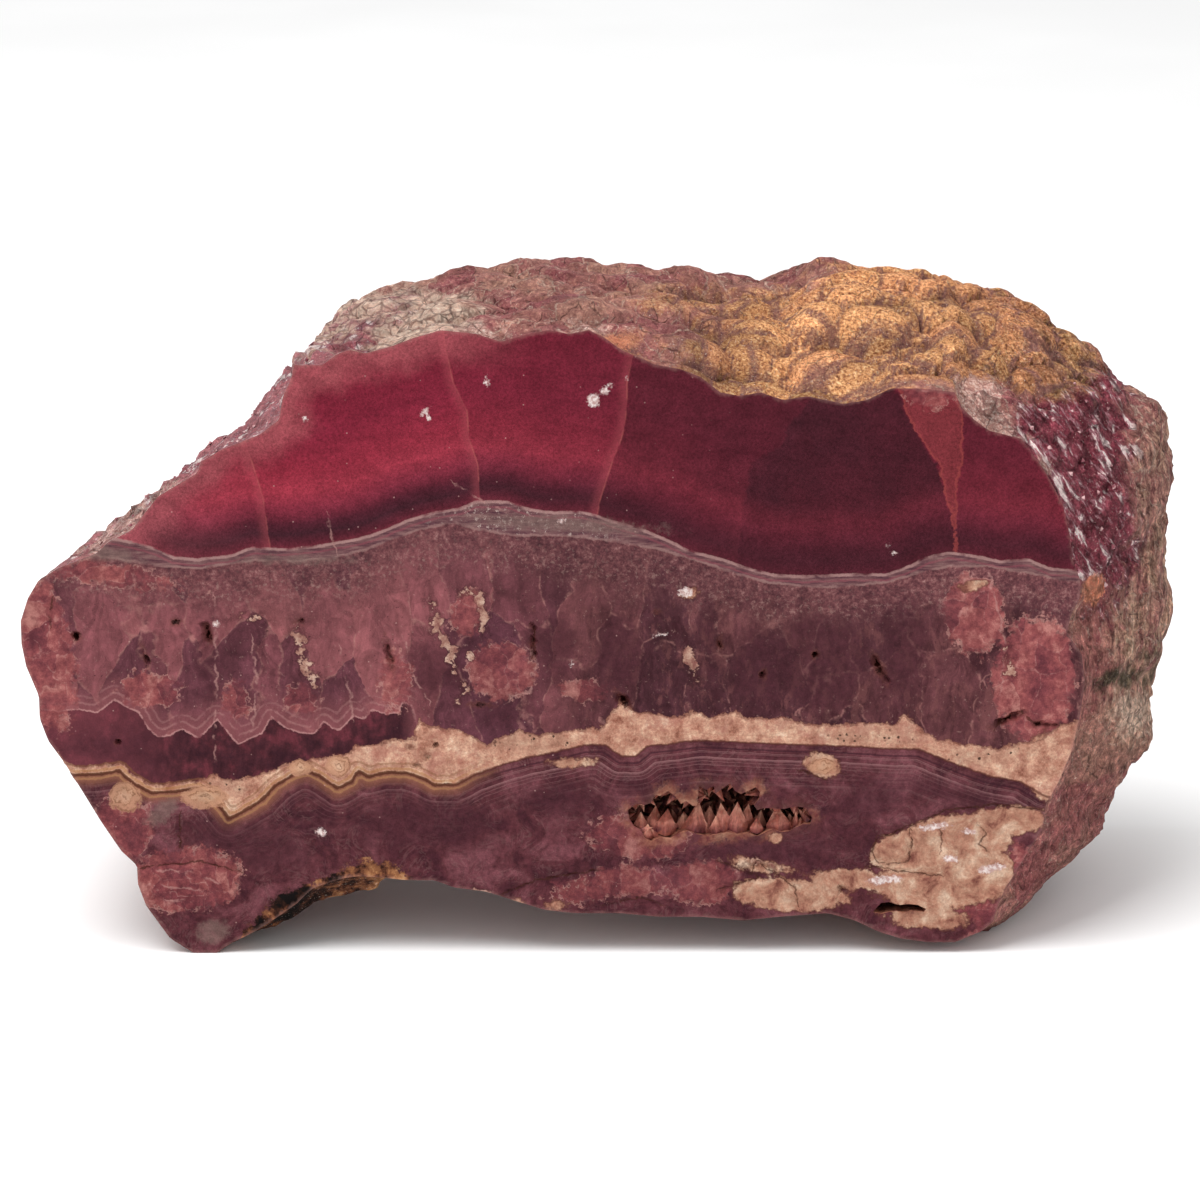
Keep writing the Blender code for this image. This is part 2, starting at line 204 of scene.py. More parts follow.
GIRTH_OUTLINE = {
    "left_side": [
        (-50, -0.6), (-53.5, -0.4), (-58, 5), (-61, 13), (-66, 21.5), (-70.5, 29), (-72.5, 36), (-73.5, 40)
    ],
    "left_slope": [
        (-73.5, 42.5), (-72, 44), (-68.5, 46.5), (-64, 50), (-58, 54), (-52, 59.5), (-47, 64),
        (-42.5, 68.5), (-39, 73.5)
    ],
    "crown": [
        (-36.5, 77), (-33, 78.8), (-27, 80.5), (-20, 82.5), (-14.5, 84), (-9, 84.8), (-3, 84.8), (0, 83.5),
        (5.5, 83), (9.5, 83.4), (13, 82.6), (19, 83.2), (24, 83), (28, 84), (34.5, 83.5), (40, 83)
    ],
    "shoulder": [
        (44, 82.5), (48, 81), (52, 80), (57, 78), (61, 75.5), (64, 73), (66, 70.5), (68.5, 68), (71.5, 67),
        (73, 65), (74, 61.5)
    ],
    "flank": [
        (74, 57.5), (73.5, 53), (73.5, 48), (74, 43), (74, 40), (73.5, 34.5), (72.5, 30), (72, 27),
        (72.5, 23), (71.5, 19.5), (68, 14), (66.5, 10.5), (64, 8), (60, 4.5), (55, 1)
    ],
    "underside": [
        (50, -1.5), (45, -2), (40, -1.2), (34, 3), (28, 6), (20, 7), (10, 8), (0, 8.5), (-8, 9.5),
        (-16, 11), (-25, 12), (-33, 11), (-40, 7), (-45, 2), (-47.5, -0.4)
    ],
}
SAWN_BACK_OUTLINE = {
    "left_side": [(-46, -0.4), (-49, -0.2), (-54, 5), (-57, 13), (-62, 22), (-66, 30),
                  (-68, 36)],
    "left_slope": [(-68.5, 41), (-67, 44), (-63, 47), (-57, 51), (-51, 56), (-45, 61),
                   (-40, 66), (-36, 71)],
    "crown": [(-32, 74), (-26, 76), (-18, 77.5), (-9, 78), (-2, 77), (6, 76), (14, 76.5),
              (22, 76), (30, 77), (37, 76)],
    "shoulder": [(43, 75.5), (50, 73), (56, 70.5), (61, 67.5), (65, 63.5), (67.5, 59)],
    "flank": [(68.5, 54), (69, 49), (68, 43), (68.5, 36), (67, 29), (66.5, 22), (63, 15),
              (58, 9), (54, 4)],
    "underside": [(49, -0.4), (44, -0.4), (40, 1), (34, 3.5), (26, 6), (16, 8), (5, 10),
                  (-6, 12), (-18, 13.5), (-28, 12.5), (-36, 9), (-42, 3.5)],
}

# Relief of the skin on each span: (height of the lumps, length of one lump, height of the swell).
RELIEF = {"left_side": (0.8, 9.0, 1.2), "left_slope": (0.9, 8.0, 0.8), "crown": (2.3, 11.0, 0.5),
          "shoulder": (0.9, 9.0, 0.8), "flank": (1.5, 10.0, 1.4), "underside": (1.2, 9.0, 1.6)}
SWELL_LENGTH = 24.0
RELIEF_START = 4.0
LEDGED_SPANS = ("left_slope", "shoulder")
LEDGE_PITCH = 8.0
LEDGE_HEIGHT = 0.9
LEDGE_TREAD = 0.7
LEDGE_DIP = math.radians(35)
CHIP_CENTRE_X = -36.0
CHIP_HALF_LENGTH = 12.0
CHIP_LIFT = 2.6
CHIP_DEPTH = 3.5
OCHRE_DEPTH = 9.0           # how far the weathered ochre of the chip reaches in

LUMP_STRETCH = np.array([1.0, 1.3, 1.2])
LUMP_TOP = 0.6
LUMP_FALL = 1.7
SCALE_TILT = 1.3
FAR_OUTSIDE = -50.0         # stands for a place that no patch is near
FAR_AWAY = 60.0             # stands for a place that no line is near
NO_RINGS = 9.0              # stands for a place that no ring is near
FACE_REACH = 80.0           # beyond both ends of the cut face
LEAST_SHARE = 0.02          # scales and facets fainter than this are left out
SCALE_EDGE = (-4.0, 1.0)    # how scales and facets fade in at the edge of their patches
FACET_EDGE = (-2.0, 1.0)
BLEND_POINTS = 9            # points of the rim over which the relief of two spans is blended

# Fine relief in millimetres: overlapping scales on the golden crown, facets on broken crystal,
# warts and grain all over, and fine cleavage steps.
SCALE_SIZE = np.array([7.6, 6.0, 6.6])
SCALE_ROUND = 0.82          # distance from its middle, in scale sizes, at which a scale ends
SCALE_HEIGHT = 2.6
SCALE_LEAN = 1.4
SCALE_SINK = 0.8            # how deep a scale's edge lies, as a share of its height
SWAY_LENGTH = 4.5           # length and reach of the bends in the scales' outlines
SWAY = 0.8
SWAY_SEED = 1795874211      # without one, Blender takes it from the clock
LUMP_EDGE = 1.6             # how narrow the groove between two lumps is
SHADE_SEED = 23.3           # picks each scale's own shade
TILT_SEED = 31.7            # picks each facet's own tilt
FACET_SIZE = 3.2
FACET_SLOPE = 0.5
CHUNK_SIZE = 7.0
CHUNK_SLOPE = 0.16
KNOBS = (0.9, 5.5)
WARTS = (0.4, 2.4)
CRUST_GRAIN = (0.22, 1.1)
WART_TOP = 0.35
SCALE_CALM = 0.7            # how much less warty the scales are
CLEAVAGE_PITCH = 2.3
CLEAVAGE_HEIGHT = 0.2
CLEAVAGE_TREAD = 0.8
CLEAVAGE_WAVER = 0.22
PIT_DEPTH = 1.3             # how deep pits, cracks, cream and ochre are worn into the cut face
CRACK_DEPTH = 0.35
CREAM_WEAR = 0.12
OCHRE_WEAR = 0.35
PIT_EDGE = (-0.15, 0.45)
CRACK_EDGE = (0.1, 0.45)
WEAR_EDGE = 0.8
PIT_SHAKE = (0.5, 1.1)      # how uneven the pits and the wear are, and the length of one bend
WEAR_SHAKE = (0.3, 2.6)

# Behind the cut face the layers spread, lean to the left and drift up and down.
LAYER_START = 2.0
LAYER_SPREAD = (0.06, 0.04)
LAYER_LEAN = 3.0
DRIFT = 1.6
DRIFT_UP = 2.5
DRIFT_LENGTH = 22.0
DRIFT_STRETCH = (1, 0.6, 1)

QUICK_CROWDING = 2
QUICK_RINGS = 34
QUICK_SPACING = 1.8
BACK_SPACING = 2.4          # the back's points lie wider apart than the face's
POINT_SHAKE = 0.12          # how unevenly the points lie, as a share of their spacing
LOOP_GAP = 0.55             # how near they come to the outer loop and to the holes
HOLE_GAP = 0.45
SHARP_EDGE = math.radians(50)
POLISHED, RIND, SAWN, WALL = range(4)

FLECK_SLANT = math.radians(55)      # how steeply the bright flecks of the crystal, partly painted glints, run down
SLOPE_SLANT = math.radians(37)      # how steeply the left slope climbs
RIDGE_SLANT = math.radians(-30)     # how far the ridges of the right flank lean

# The photograph's view of the cut face.
FRAME_PIXELS = 1200
SENSOR = 36.0
CAMERA_ELEVATION = math.radians(16.0)
CAMERA_DISTANCE = 600.0
CAMERA_SCALE = 7.85         # pixels to a millimetre where the view meets the cut face
CAMERA_X = -1.1
STANDING_ROW = 953          # row of the photograph where the cut face meets the surface


def on_face(px, py):
    """The place on the cut face, as (x, z), that the photograph shows at a pixel."""
    reach = CAMERA_SCALE * CAMERA_DISTANCE
    rise, fall = math.cos(CAMERA_ELEVATION), math.sin(CAMERA_ELEVATION)
    across = (px - FRAME_PIXELS / 2) / reach
    up = (FRAME_PIXELS / 2 - py) / reach
    along = CAMERA_DISTANCE * rise / (rise + up * fall)
    return (CAMERA_X + along * across,
            aim_height() + CAMERA_DISTANCE * fall + along * (up * rise - fall))


def aim_height():
    """Height on the cut face that the camera looks at, so that the stone stands where it should."""
    down = (FRAME_PIXELS / 2 - STANDING_ROW) / (CAMERA_SCALE * CAMERA_DISTANCE)
    rise, fall = math.cos(CAMERA_ELEVATION), math.sin(CAMERA_ELEVATION)
    return -CAMERA_DISTANCE * down / (rise + down * fall)


def seen(points):
    """Where the photograph's view of each point in space crosses the plane of the cut face."""
    eye = np.array([CAMERA_X, FACE_Y - CAMERA_DISTANCE * math.cos(CAMERA_ELEVATION),
                    aim_height() + CAMERA_DISTANCE * math.sin(CAMERA_ELEVATION)])
    share = (FACE_Y - eye[1]) / (points[:, 1] - eye[1])
    crossing = eye + share[:, None] * (points - eye)
    return crossing[:, (0, 2)]


def places(pixels):
    """A run of the photograph's pixels as an array of places on the cut face."""
    return np.array([on_face(px, py) for px, py in pixels])


# Lines of the banding, left to right across the cut face, in the photograph's pixels.
WAVY_LINE = [
    (20, 520), (60, 528), (119, 540), (138, 544), (158, 550), (174, 558), (198, 560), (231, 556),
    (253, 548), (285, 550), (320, 546), (356, 540), (380, 533), (407, 521), (435, 513), (459, 509),
    (476, 502), (506, 502), (530, 510), (554, 513), (577, 512), (593, 515), (613, 522), (642, 530),
    (666, 540), (691, 552), (723, 560), (752, 570), (772, 575), (805, 577), (846, 575), (886, 575),
    (911, 566), (927, 558), (948, 553), (972, 556), (1001, 562), (1029, 560), (1050, 569), (1074, 571),
    (1180, 580)
]
SECOND_LINE = [
    (20, 540), (100, 556), (160, 566), (200, 568), (253, 560), (293, 561), (332, 558), (364, 550),
    (395, 538), (419, 529), (455, 523), (478, 529), (514, 535), (554, 535), (593, 538), (633, 544),
    (662, 550), (703, 562), (740, 575), (772, 583), (813, 587), (846, 586), (886, 582), (919, 573),
    (948, 566), (989, 566), (1029, 573), (1070, 581), (1180, 590)
]
SCALLOP_LINE = [
    (20, 706), (59, 712), (79, 710), (97, 713), (115, 700), (126, 707), (138, 712), (146, 726), (156, 737),
    (170, 736), (182, 729), (198, 739), (207, 731), (217, 720), (225, 730), (238, 745), (252, 738),
    (263, 734), (271, 717), (285, 728), (300, 733), (314, 735), (324, 722), (332, 728), (340, 731),
    (354, 716), (364, 720), (372, 710), (386, 714), (399, 713), (403, 702), (412, 706), (418, 730),
    (440, 790), (470, 900)
]
CREAM_TOP = [
    (20, 740), (59, 753), (65, 762), (81, 766), (107, 764), (120, 761), (130, 771), (150, 783), (174, 782),
    (198, 781), (214, 773), (221, 779), (237, 779), (257, 775), (277, 768), (295, 760), (300, 762),
    (316, 758), (348, 754), (356, 746), (376, 744), (395, 740), (415, 738), (419, 718), (431, 726),
    (447, 728), (461, 730), (490, 746), (500, 738), (518, 730), (534, 734), (554, 732), (573, 731),
    (601, 727), (611, 714), (621, 701), (636, 712), (662, 715), (678, 717), (695, 711), (707, 717),
    (723, 713), (735, 711), (748, 719), (780, 717), (805, 723), (838, 725), (870, 723), (895, 723),
    (907, 713), (919, 727), (940, 740), (968, 744), (1001, 748), (1017, 744), (1042, 740), (1066, 723),
    (1180, 690)
]
CREAM_FOOT = [
    (20, 765), (73, 775), (95, 775), (119, 771), (130, 781), (150, 793), (174, 792), (198, 788), (215, 801),
    (229, 819), (245, 811), (261, 801), (277, 785), (293, 775), (308, 771), (324, 779), (338, 789),
    (352, 781), (358, 771), (368, 777), (383, 773), (407, 773), (419, 777), (435, 785), (455, 785),
    (474, 775), (498, 766), (526, 758), (546, 754), (565, 750), (585, 745), (605, 745), (621, 756),
    (636, 756), (648, 746), (670, 744), (699, 740), (735, 742), (780, 744), (846, 746), (895, 749),
    (919, 749), (935, 756), (960, 766), (989, 776), (1021, 782), (1042, 795), (1056, 799), (1180, 820)
]
OCHRE_TOP = [(240, 935), (257, 916), (277, 896), (300, 886), (328, 876), (348, 866), (368, 860),
             (392, 864), (411, 876), (425, 895)]

# Healed fractures of the crimson zone, from the rind down, which part it into blocks.
FRACTURES = [
    [(238, 425), (245, 440), (253, 465), (263, 497), (272, 560)],
    [(443, 330), (445, 343), (453, 382), (467, 410), (469, 438), (478, 465), (480, 501), (484, 530)],
    [(636, 330), (633, 356), (627, 383), (627, 403), (625, 424), (621, 440), (613, 460),
     (600, 500), (590, 560)],
    [(815, 380), (809, 401), (801, 413), (789, 424), (786, 436), (780, 446), (764, 456),
     (750, 465), (749, 485), (744, 497), (735, 580)],
    [(890, 375), (899, 393), (909, 420), (923, 444), (938, 465), (944, 490), (952, 520),
     (955, 550), (953, 590)],
    [(957, 380), (958, 393), (962, 415), (962, 460), (959, 485), (957, 522), (956, 550), (953, 590)],
]
WEDGE_SIDES = FRACTURES[-2:]        # the salmon wedge lies between the last two
# Darkness of the blocks, left to right: beside the fracture on their left, then on their right.
BLOCK_DARK = [(0.0, 0.0), (0.0, 0.05), (0.12, 0.25), (0.6, 0.7), (0.95, 0.9), (0.1, 0.1), (0.45, 0.3)]

# The face's tones are deepened, partly by the polish and partly as painted shade, the light from above falling less on
# the upright face than on the crown; its gloss gives a little of that back as pale light.
FACE_SHADE_AND_POLISH = 0.76
FACE_GLOSS = 0.004
RIND_STRENGTH = 1.22

# Patches of one colour: (px, py, half width, half height, turn in degrees).
PINK_PATCHES = [
    (42, 650, 32, 84, 10), (110, 575, 70, 12, -8), (500, 672, 34, 30, 0), (466, 612, 16, 24, -10),
    (975, 615, 30, 42, 10), (1034, 680, 42, 66, 0), (185, 880, 60, 34, 8), (585, 892, 34, 12, 4),
    (632, 882, 48, 16, 0), (702, 882, 40, 22, 0), (640, 838, 52, 22, -4), (974, 900, 40, 26, -20),
    (998, 893, 56, 17, 66), (120, 830, 30, 40, -30), (585, 690, 22, 12, 0), (395, 680, 16, 30, 0),
    (930, 393, 28, 14, -8), (150, 690, 30, 18, 0), (235, 700, 14, 20, 0), (300, 700, 18, 16, 0)
]
CREAM_PATCHES = [
    (690, 593, 8, 5, 0), (823, 766, 20, 13, -20), (760, 866, 30, 7, -10), (790, 895, 60, 18, -4),
    (845, 880, 40, 12, 0), (892, 855, 22, 20, 0), (950, 845, 62, 32, 8), (1005, 822, 46, 16, 5),
    (940, 885, 70, 26, 0), (930, 918, 44, 12, -4), (985, 872, 30, 28, 20), (566, 763, 16, 5, 0),
    (1046, 765, 22, 36, 0), (505, 905, 20, 5, 8), (556, 905, 12, 5, 0), (640, 812, 10, 7, 0),
    (775, 838, 6, 6, 0), (585, 762, 12, 4, 0), (972, 586, 13, 5, 10)
]
DARK_PATCHES = [
    (432, 668, 32, 28, 0), (207, 655, 14, 50, 4), (712, 650, 8, 40, 4), (765, 848, 100, 19, -2),
    (868, 800, 44, 22, 20), (250, 845, 66, 30, -10), (620, 655, 26, 40, 0), (820, 660, 50, 50, 0),
    (760, 670, 30, 46, 0), (905, 650, 24, 56, 0), (560, 650, 20, 40, 0), (100, 745, 46, 14, 0),
    (420, 825, 80, 28, 0), (940, 790, 70, 12, -12), (330, 770, 40, 14, 0), (505, 715, 40, 10, 0),
    (660, 790, 60, 8, 0), (560, 800, 40, 20, 0)
]
GREY_PATCHES = [(212, 932, 18, 13, 20), (560, 524, 90, 8, -3), (162, 812, 20, 10, 40),
                (100, 552, 40, 8, -10), (300, 560, 50, 5, 0)]
WHITE_SCUFFS = [
    (934, 827, 18, 4, 8), (970, 832, 10, 3, -5), (950, 859, 9, 4, -10), (885, 880, 19, 5, 4),
    (990, 869, 15, 5, 10), (305, 420, 3, 3, 0), (425, 412, 6, 4, 40), (428, 419, 3, 3, 0),
    (487, 383, 3, 7, 10), (593, 401, 7, 8, 30), (605, 391, 5, 4, 0), (611, 385, 3, 3, 0),
    (627, 378, 2, 3, 0), (888, 546, 3, 3, 0), (893, 553, 3, 2, 0), (572, 664, 3, 5, 0),
    (660, 635, 9, 2, 10), (320, 832, 6, 5, 0), (216, 624, 4, 3, 0), (686, 592, 8, 5, -5),
    (562, 521, 4, 3, 0)
]
PITS = [
    (879, 667, 16, 4, -64), (624, 701, 11, 4, -50), (1008, 719, 13, 3, 25), (1037, 725, 5, 4, 0),
    (207, 634, 4, 10, 4), (763, 675, 3, 4, 0), (815, 655, 3, 4, 0), (77, 636, 4, 6, 0), (175, 622, 5, 3, 0),
    (845, 889, 8, 1.5, 4), (145, 655, 2, 8, 15), (533, 642, 1.5, 14, 0), (1052, 726, 9, 1.5, 0),
    (118, 743, 2, 3, 0), (389, 655, 3, 14, 15), (410, 747, 3, 2, 0), (428, 757, 2, 2, 0),
    (418, 765, 3, 2, 0), (436, 746, 2, 2, 0), (300, 622, 4, 3, 20), (655, 612, 3, 2, 0),
    (720, 645, 2, 6, 0), (480, 705, 8, 2, 0)
]
# Thick pale veins between the crystals, thin threads, and dark cracks.
VEINS = [
    [(428, 598), (436, 612), (436, 630), (448, 648), (468, 655)],
    [(450, 652), (456, 672), (464, 690), (458, 702)], [(468, 592), (480, 600), (484, 620), (478, 634)],
    [(296, 634), (300, 650), (312, 682)], [(236, 618), (250, 621), (262, 616)], [(1006, 650), (1010, 672)],
    [(686, 640), (694, 680)], [(740, 868), (757, 862), (770, 866)], [(420, 905), (470, 893), (500, 902)]
]
THREADS = [
    [(215, 600), (217, 690), (214, 740), (216, 770)], [(455, 484), (486, 503), (510, 511)],
    [(328, 517), (336, 550)], [(252, 640), (258, 690), (252, 730)], [(340, 650), (350, 690), (352, 716)],
    [(505, 702), (530, 690), (538, 664), (526, 645)], [(428, 700), (412, 672), (404, 640)],
    [(990, 575), (1005, 640), (1001, 690)], [(150, 886), (200, 890)], [(165, 900), (215, 902)],
    [(140, 870), (190, 872), (222, 884)]
]
CRACKS = [
    [(52, 600), (50, 612), (50, 625)], [(533, 628), (535, 656)],
    [(910, 834), (913, 841), (909, 850), (910, 863), (893, 864), (877, 863), (872, 852)],
    [(941, 832), (941, 850)], [(975, 824), (987, 835), (979, 843), (988, 853)],
    [(753, 868), (757, 862), (775, 873), (795, 888), (798, 905)], [(180, 815), (180, 850)],
    [(500, 895), (540, 880), (600, 870)], [(996, 728), (1008, 716), (1020, 712), (1032, 722)],
    [(800, 770), (830, 782)], [(868, 866), (900, 872), (940, 876)], [(140, 868), (200, 862), (240, 872)],
    [(872, 852), (878, 837), (892, 834), (912, 826), (945, 811), (996, 805), (1046, 811)],
    [(720, 862), (760, 878), (720, 890)], [(605, 905), (640, 898), (660, 905)]
]
# Rings grown round a point: (px, py, half width, half height, rings' reach in millimetres).
EYES = [(125, 797, 8, 8, 2.2), (205, 797, 14, 7, 1.7), (338, 766, 8, 7, 1.5), (300, 768, 9, 6, 1.2),
        (823, 766, 12, 7, 1.2)]

GRIT_PATCHES = [(525, 738, 48, 17, -5), (980, 758, 40, 9, 8), (870, 737, 50, 7, 0),
                (225, 788, 20, 12, 0)]

# What the rind is made of, as the photograph shows it, in ovals like those of the cut face.
GOLD_PATCHES = [
    (795, 350, 110, 62, -6), (925, 325, 125, 62, -12), (1035, 350, 66, 46, -30), (840, 385, 85, 34, 0),
    (735, 370, 60, 34, -12), (620, 345, 40, 16, -10), (690, 300, 60, 14, 0)
]
CRUST_PATCHES = [(370, 325, 80, 36, 15), (440, 318, 40, 24, 0), (330, 350, 50, 30, 20),
                 (1132, 716, 20, 22, 0)]
PALE_PATCHES = [(978, 400, 24, 26, -30), (130, 522, 60, 12, 40), (1040, 470, 10, 12, -40),
                (480, 335, 34, 9, 0), (590, 330, 22, 8, 0), (1000, 425, 18, 12, -40)]
CRYSTAL_PATCHES = [(1070, 440, 62, 60, 40), (1095, 520, 40, 90, 10), (200, 455, 215, 36, 37),
                   (1085, 395, 45, 24, 20), (20, 590, 60, 30, 40)]
TAN_PATCHES = [(1162, 520, 26, 140, 0), (1145, 590, 40, 60, 0), (1132, 710, 34, 50, 0),
               (1134, 640, 34, 30, 0), (1090, 720, 12, 40, 0)]
MOSS_PATCHES = [(1126, 680, 26, 10, 8), (1152, 650, 8, 14, 0)]
ORANGE_PATCHES = [(1093, 590, 12, 15, -20), (617, 342, 13, 6, -10)]
RED_PATCHES = [(1030, 862, 40, 26, 40), (1085, 800, 70, 24, 50), (1094, 675, 19, 92, 0)]

# The hollow's ragged rim and the slit's, clockwise from the left tip, in pixels.
HOLLOW_RIM = [
    (628, 810), (633, 806), (638, 804), (645, 805), (651, 803), (653, 798), (656, 795), (660, 796),
    (668, 791), (675, 796), (681, 804), (686, 801), (693, 806), (697, 806), (698, 796), (699, 786),
    (706, 790), (709, 788), (714, 786), (715, 794), (719, 791), (725, 787), (730, 783), (735, 791),
    (741, 794), (752, 789), (756, 787), (760, 792), (759, 799), (754, 805), (757, 810), (764, 808),
    (771, 808), (784, 809), (796, 806), (806, 808), (812, 817), (810, 824), (803, 824), (796, 827),
    (789, 831), (781, 832), (773, 829), (766, 832), (757, 836), (748, 833), (738, 834), (728, 832),
    (718, 834), (707, 836), (697, 834), (688, 831), (680, 833), (671, 838), (661, 837), (652, 841),
    (645, 838), (641, 830), (634, 826), (629, 818)
]
# How each narrows inwards: (depth, share of the rim's size).
HOLLOW_STEPS = [(0.0, 1.0), (0.7, 1.02), (2.0, 1.07), (4.0, 1.06), (6.0, 0.95), (7.6, 0.75), (8.6, 0.4)]
SLIT_RIM = [
    (873, 912), (877, 907), (881, 903), (889, 902), (895, 904), (900, 905), (909, 904), (918, 905),
    (926, 909), (924, 912), (912, 911), (903, 913), (896, 911), (889, 912), (881, 914)
]
SLIT_STEPS = [(0.0, 1.0), (1.5, 0.95), (3.5, 0.7), (4.8, 0.4)]
WALL_ROUGHNESS = (0.9, 0.2)         # of the hollow and the slit
WALL_LUMPS = 0.9                    # lumps of a wall to a millimetre
WALL_SHIFT = Vector((0.0, 0.0, 5.0))

# Tall crystals in the mouth of the hollow: (px, py) of the tip, length, radius and depth.
MOUTH_CRYSTALS = [
    (656, 806, 3.4, 1.0, 2.0), (641, 812, 2.6, 0.8, 1.4), (668, 809, 3.4, 1.15, 1.2),
    (684, 812, 3.0, 1.1, 2.4), (699, 801, 4.2, 1.1, 1.5), (710, 806, 3.2, 0.9, 2.6),
    (721, 803, 3.8, 0.95, 1.1), (738, 802, 4.2, 1.15, 1.3), (730, 808, 3.0, 0.8, 2.8),
    (749, 804, 3.6, 0.85, 1.9), (762, 811, 2.8, 0.8, 2.8), (777, 806, 3.6, 1.3, 1.2),
    (790, 814, 2.2, 0.8, 2.2), (801, 818, 1.6, 0.6, 1.4), (648, 824, 2.0, 0.8, 0.8),
    (716, 816, 2.4, 0.7, 0.7), (757, 818, 2.0, 0.7, 0.6)
]
CRYSTAL_WIDTH = 1.25        # how far neighbouring crystals grow into one another
CRYSTAL_FOOT = 0.92         # a crystal's width at its foot, as a share of the widest
CRYSTAL_SHOULDER = 0.3      # how far up its point begins, as a share of its length
CRYSTAL_SIDES = 4
CRYSTAL_LEAN = (0.12, 0.1)
MOUTH_INSET = 0.1           # how far behind the cut face they stay

# Crystals grown on the hollow's wall and grains grown on the skin, in numbers to a square metre.
WALL_DENSITY = 2e6
WALL_SIDES = 6
WALL_REACH = 2.0            # how far beyond its rim the hollow's wall lies
WALL_DEPTHS = (1.2, 10.0)
GRAIN_DENSITY = 5e5
GRAIN_SIDES = 4
GRAIN_WIDTH = 1.1           # a grain's radius, as a share of its length
GRAIN_START = 0.6
GRAIN_MARGIN = 2.0          # how far grains stay from the sawn faces and from the left tip
GROWN_SIZES = (0.45, 1.0)
GROWN_LEAN = 0.55

# Soft lamps: name, place and width in metres, share of the lamp power.
LAMPS = [("overhead", (-0.25, -0.25, 0.9), 0.6, 1.0), ("fill", (0.1, -0.9, 0.35), 0.7, 0.05)]
LAMP_AIM = Vector((0.0, 0.0, 0.04))


def linear(code):
    """A web colour code as a linear colour with full alpha."""
    channels = [int(code[start:start + 2], 16) / 255 for start in (1, 3, 5)]
    return (*[c / 12.92 if c <= 0.04045 else ((c + 0.055) / 1.055) ** 2.4 for c in channels], 1.0)


def smooth_step(value):
    value = np.clip(value, 0.0, 1.0)
    return value * value * (3 - 2 * value)


def rise(value, low, high):
    """0 below low, 1 above high, and a smooth climb between them."""
    return smooth_step((np.asarray(value, dtype=float) - low) / (high - low))


def noise_at(points, length):
    """Smooth noise from about -1 to 1 at each point, with features of the given length."""
    return np.array([noise.noise(Vector(p) / length) for p in points])


def resample(points, count):
    """Space count points evenly along a run of points, leaving its last point out."""
    points = np.array(points, dtype=float)
    lengths = np.concatenate([[0.0], np.cumsum(np.linalg.norm(np.diff(points, axis=0), axis=1))])
    targets = lengths[-1] * np.arange(count) / count
    return np.stack([np.interp(targets, lengths, points[:, axis]) for axis in (0, 1)], axis=1)


def rim_points(outline, crowd):
    """One outline as evenly spaced points, crowd times each span's share."""
    runs = []
    for index, span in enumerate(SPANS):
        following = outline[SPANS[(index + 1) % len(SPANS)]][0]
        runs.append(resample(outline[span] + [following], SPAN_SHARES[span] * crowd))
    return np.concatenate(runs)


def section(depth, front, girth, back):
    """The bare rim at one depth: it swells to the girth, then draws in to the sawn back."""
    if depth <= GIRTH_DEPTH:
        return front + (girth - front) * math.sin(depth / GIRTH_DEPTH * math.pi / 2)
    turn = (depth - GIRTH_DEPTH) / (THICKNESS - GIRTH_DEPTH) * math.pi / 2
    return girth + (back - girth) * (1 - math.cos(turn))


def steps_of(rise_along, tread=LEDGE_TREAD):
    """Cleavage steps, from -0.5 to 0.5: each rises gently and then drops."""
    part = rise_along - np.floor(rise_along)
    return np.minimum(part / tread, (1 - part) / (1 - tread)) - 0.5


def outward(ring, reach):
    """Outward directions of a clockwise rim, within its own plane."""
    along = np.roll(ring, -reach, axis=0) - np.roll(ring, reach, axis=0)
    along /= np.linalg.norm(along, axis=1, keepdims=True) + 1e-9
    return np.stack([-along[:, 1], along[:, 0]], axis=1)


def blended(values, reach):
    """Values round the rim, evened out between neighbours."""
    near = [np.roll(values, shift) for shift in range(-reach, reach + 1)]
    return np.mean(near, axis=0)


def facet(here, size):
    """Height of a broken crystal facet: flat within each cell, tilted its own way."""
    spot = here / size
    centre = noise.voronoi(spot)[1][0]
    tilt = noise.cell_vector(centre * TILT_SEED)
    return (tilt - Vector((0.5, 0.5, 0.5))).dot(spot - centre) * size


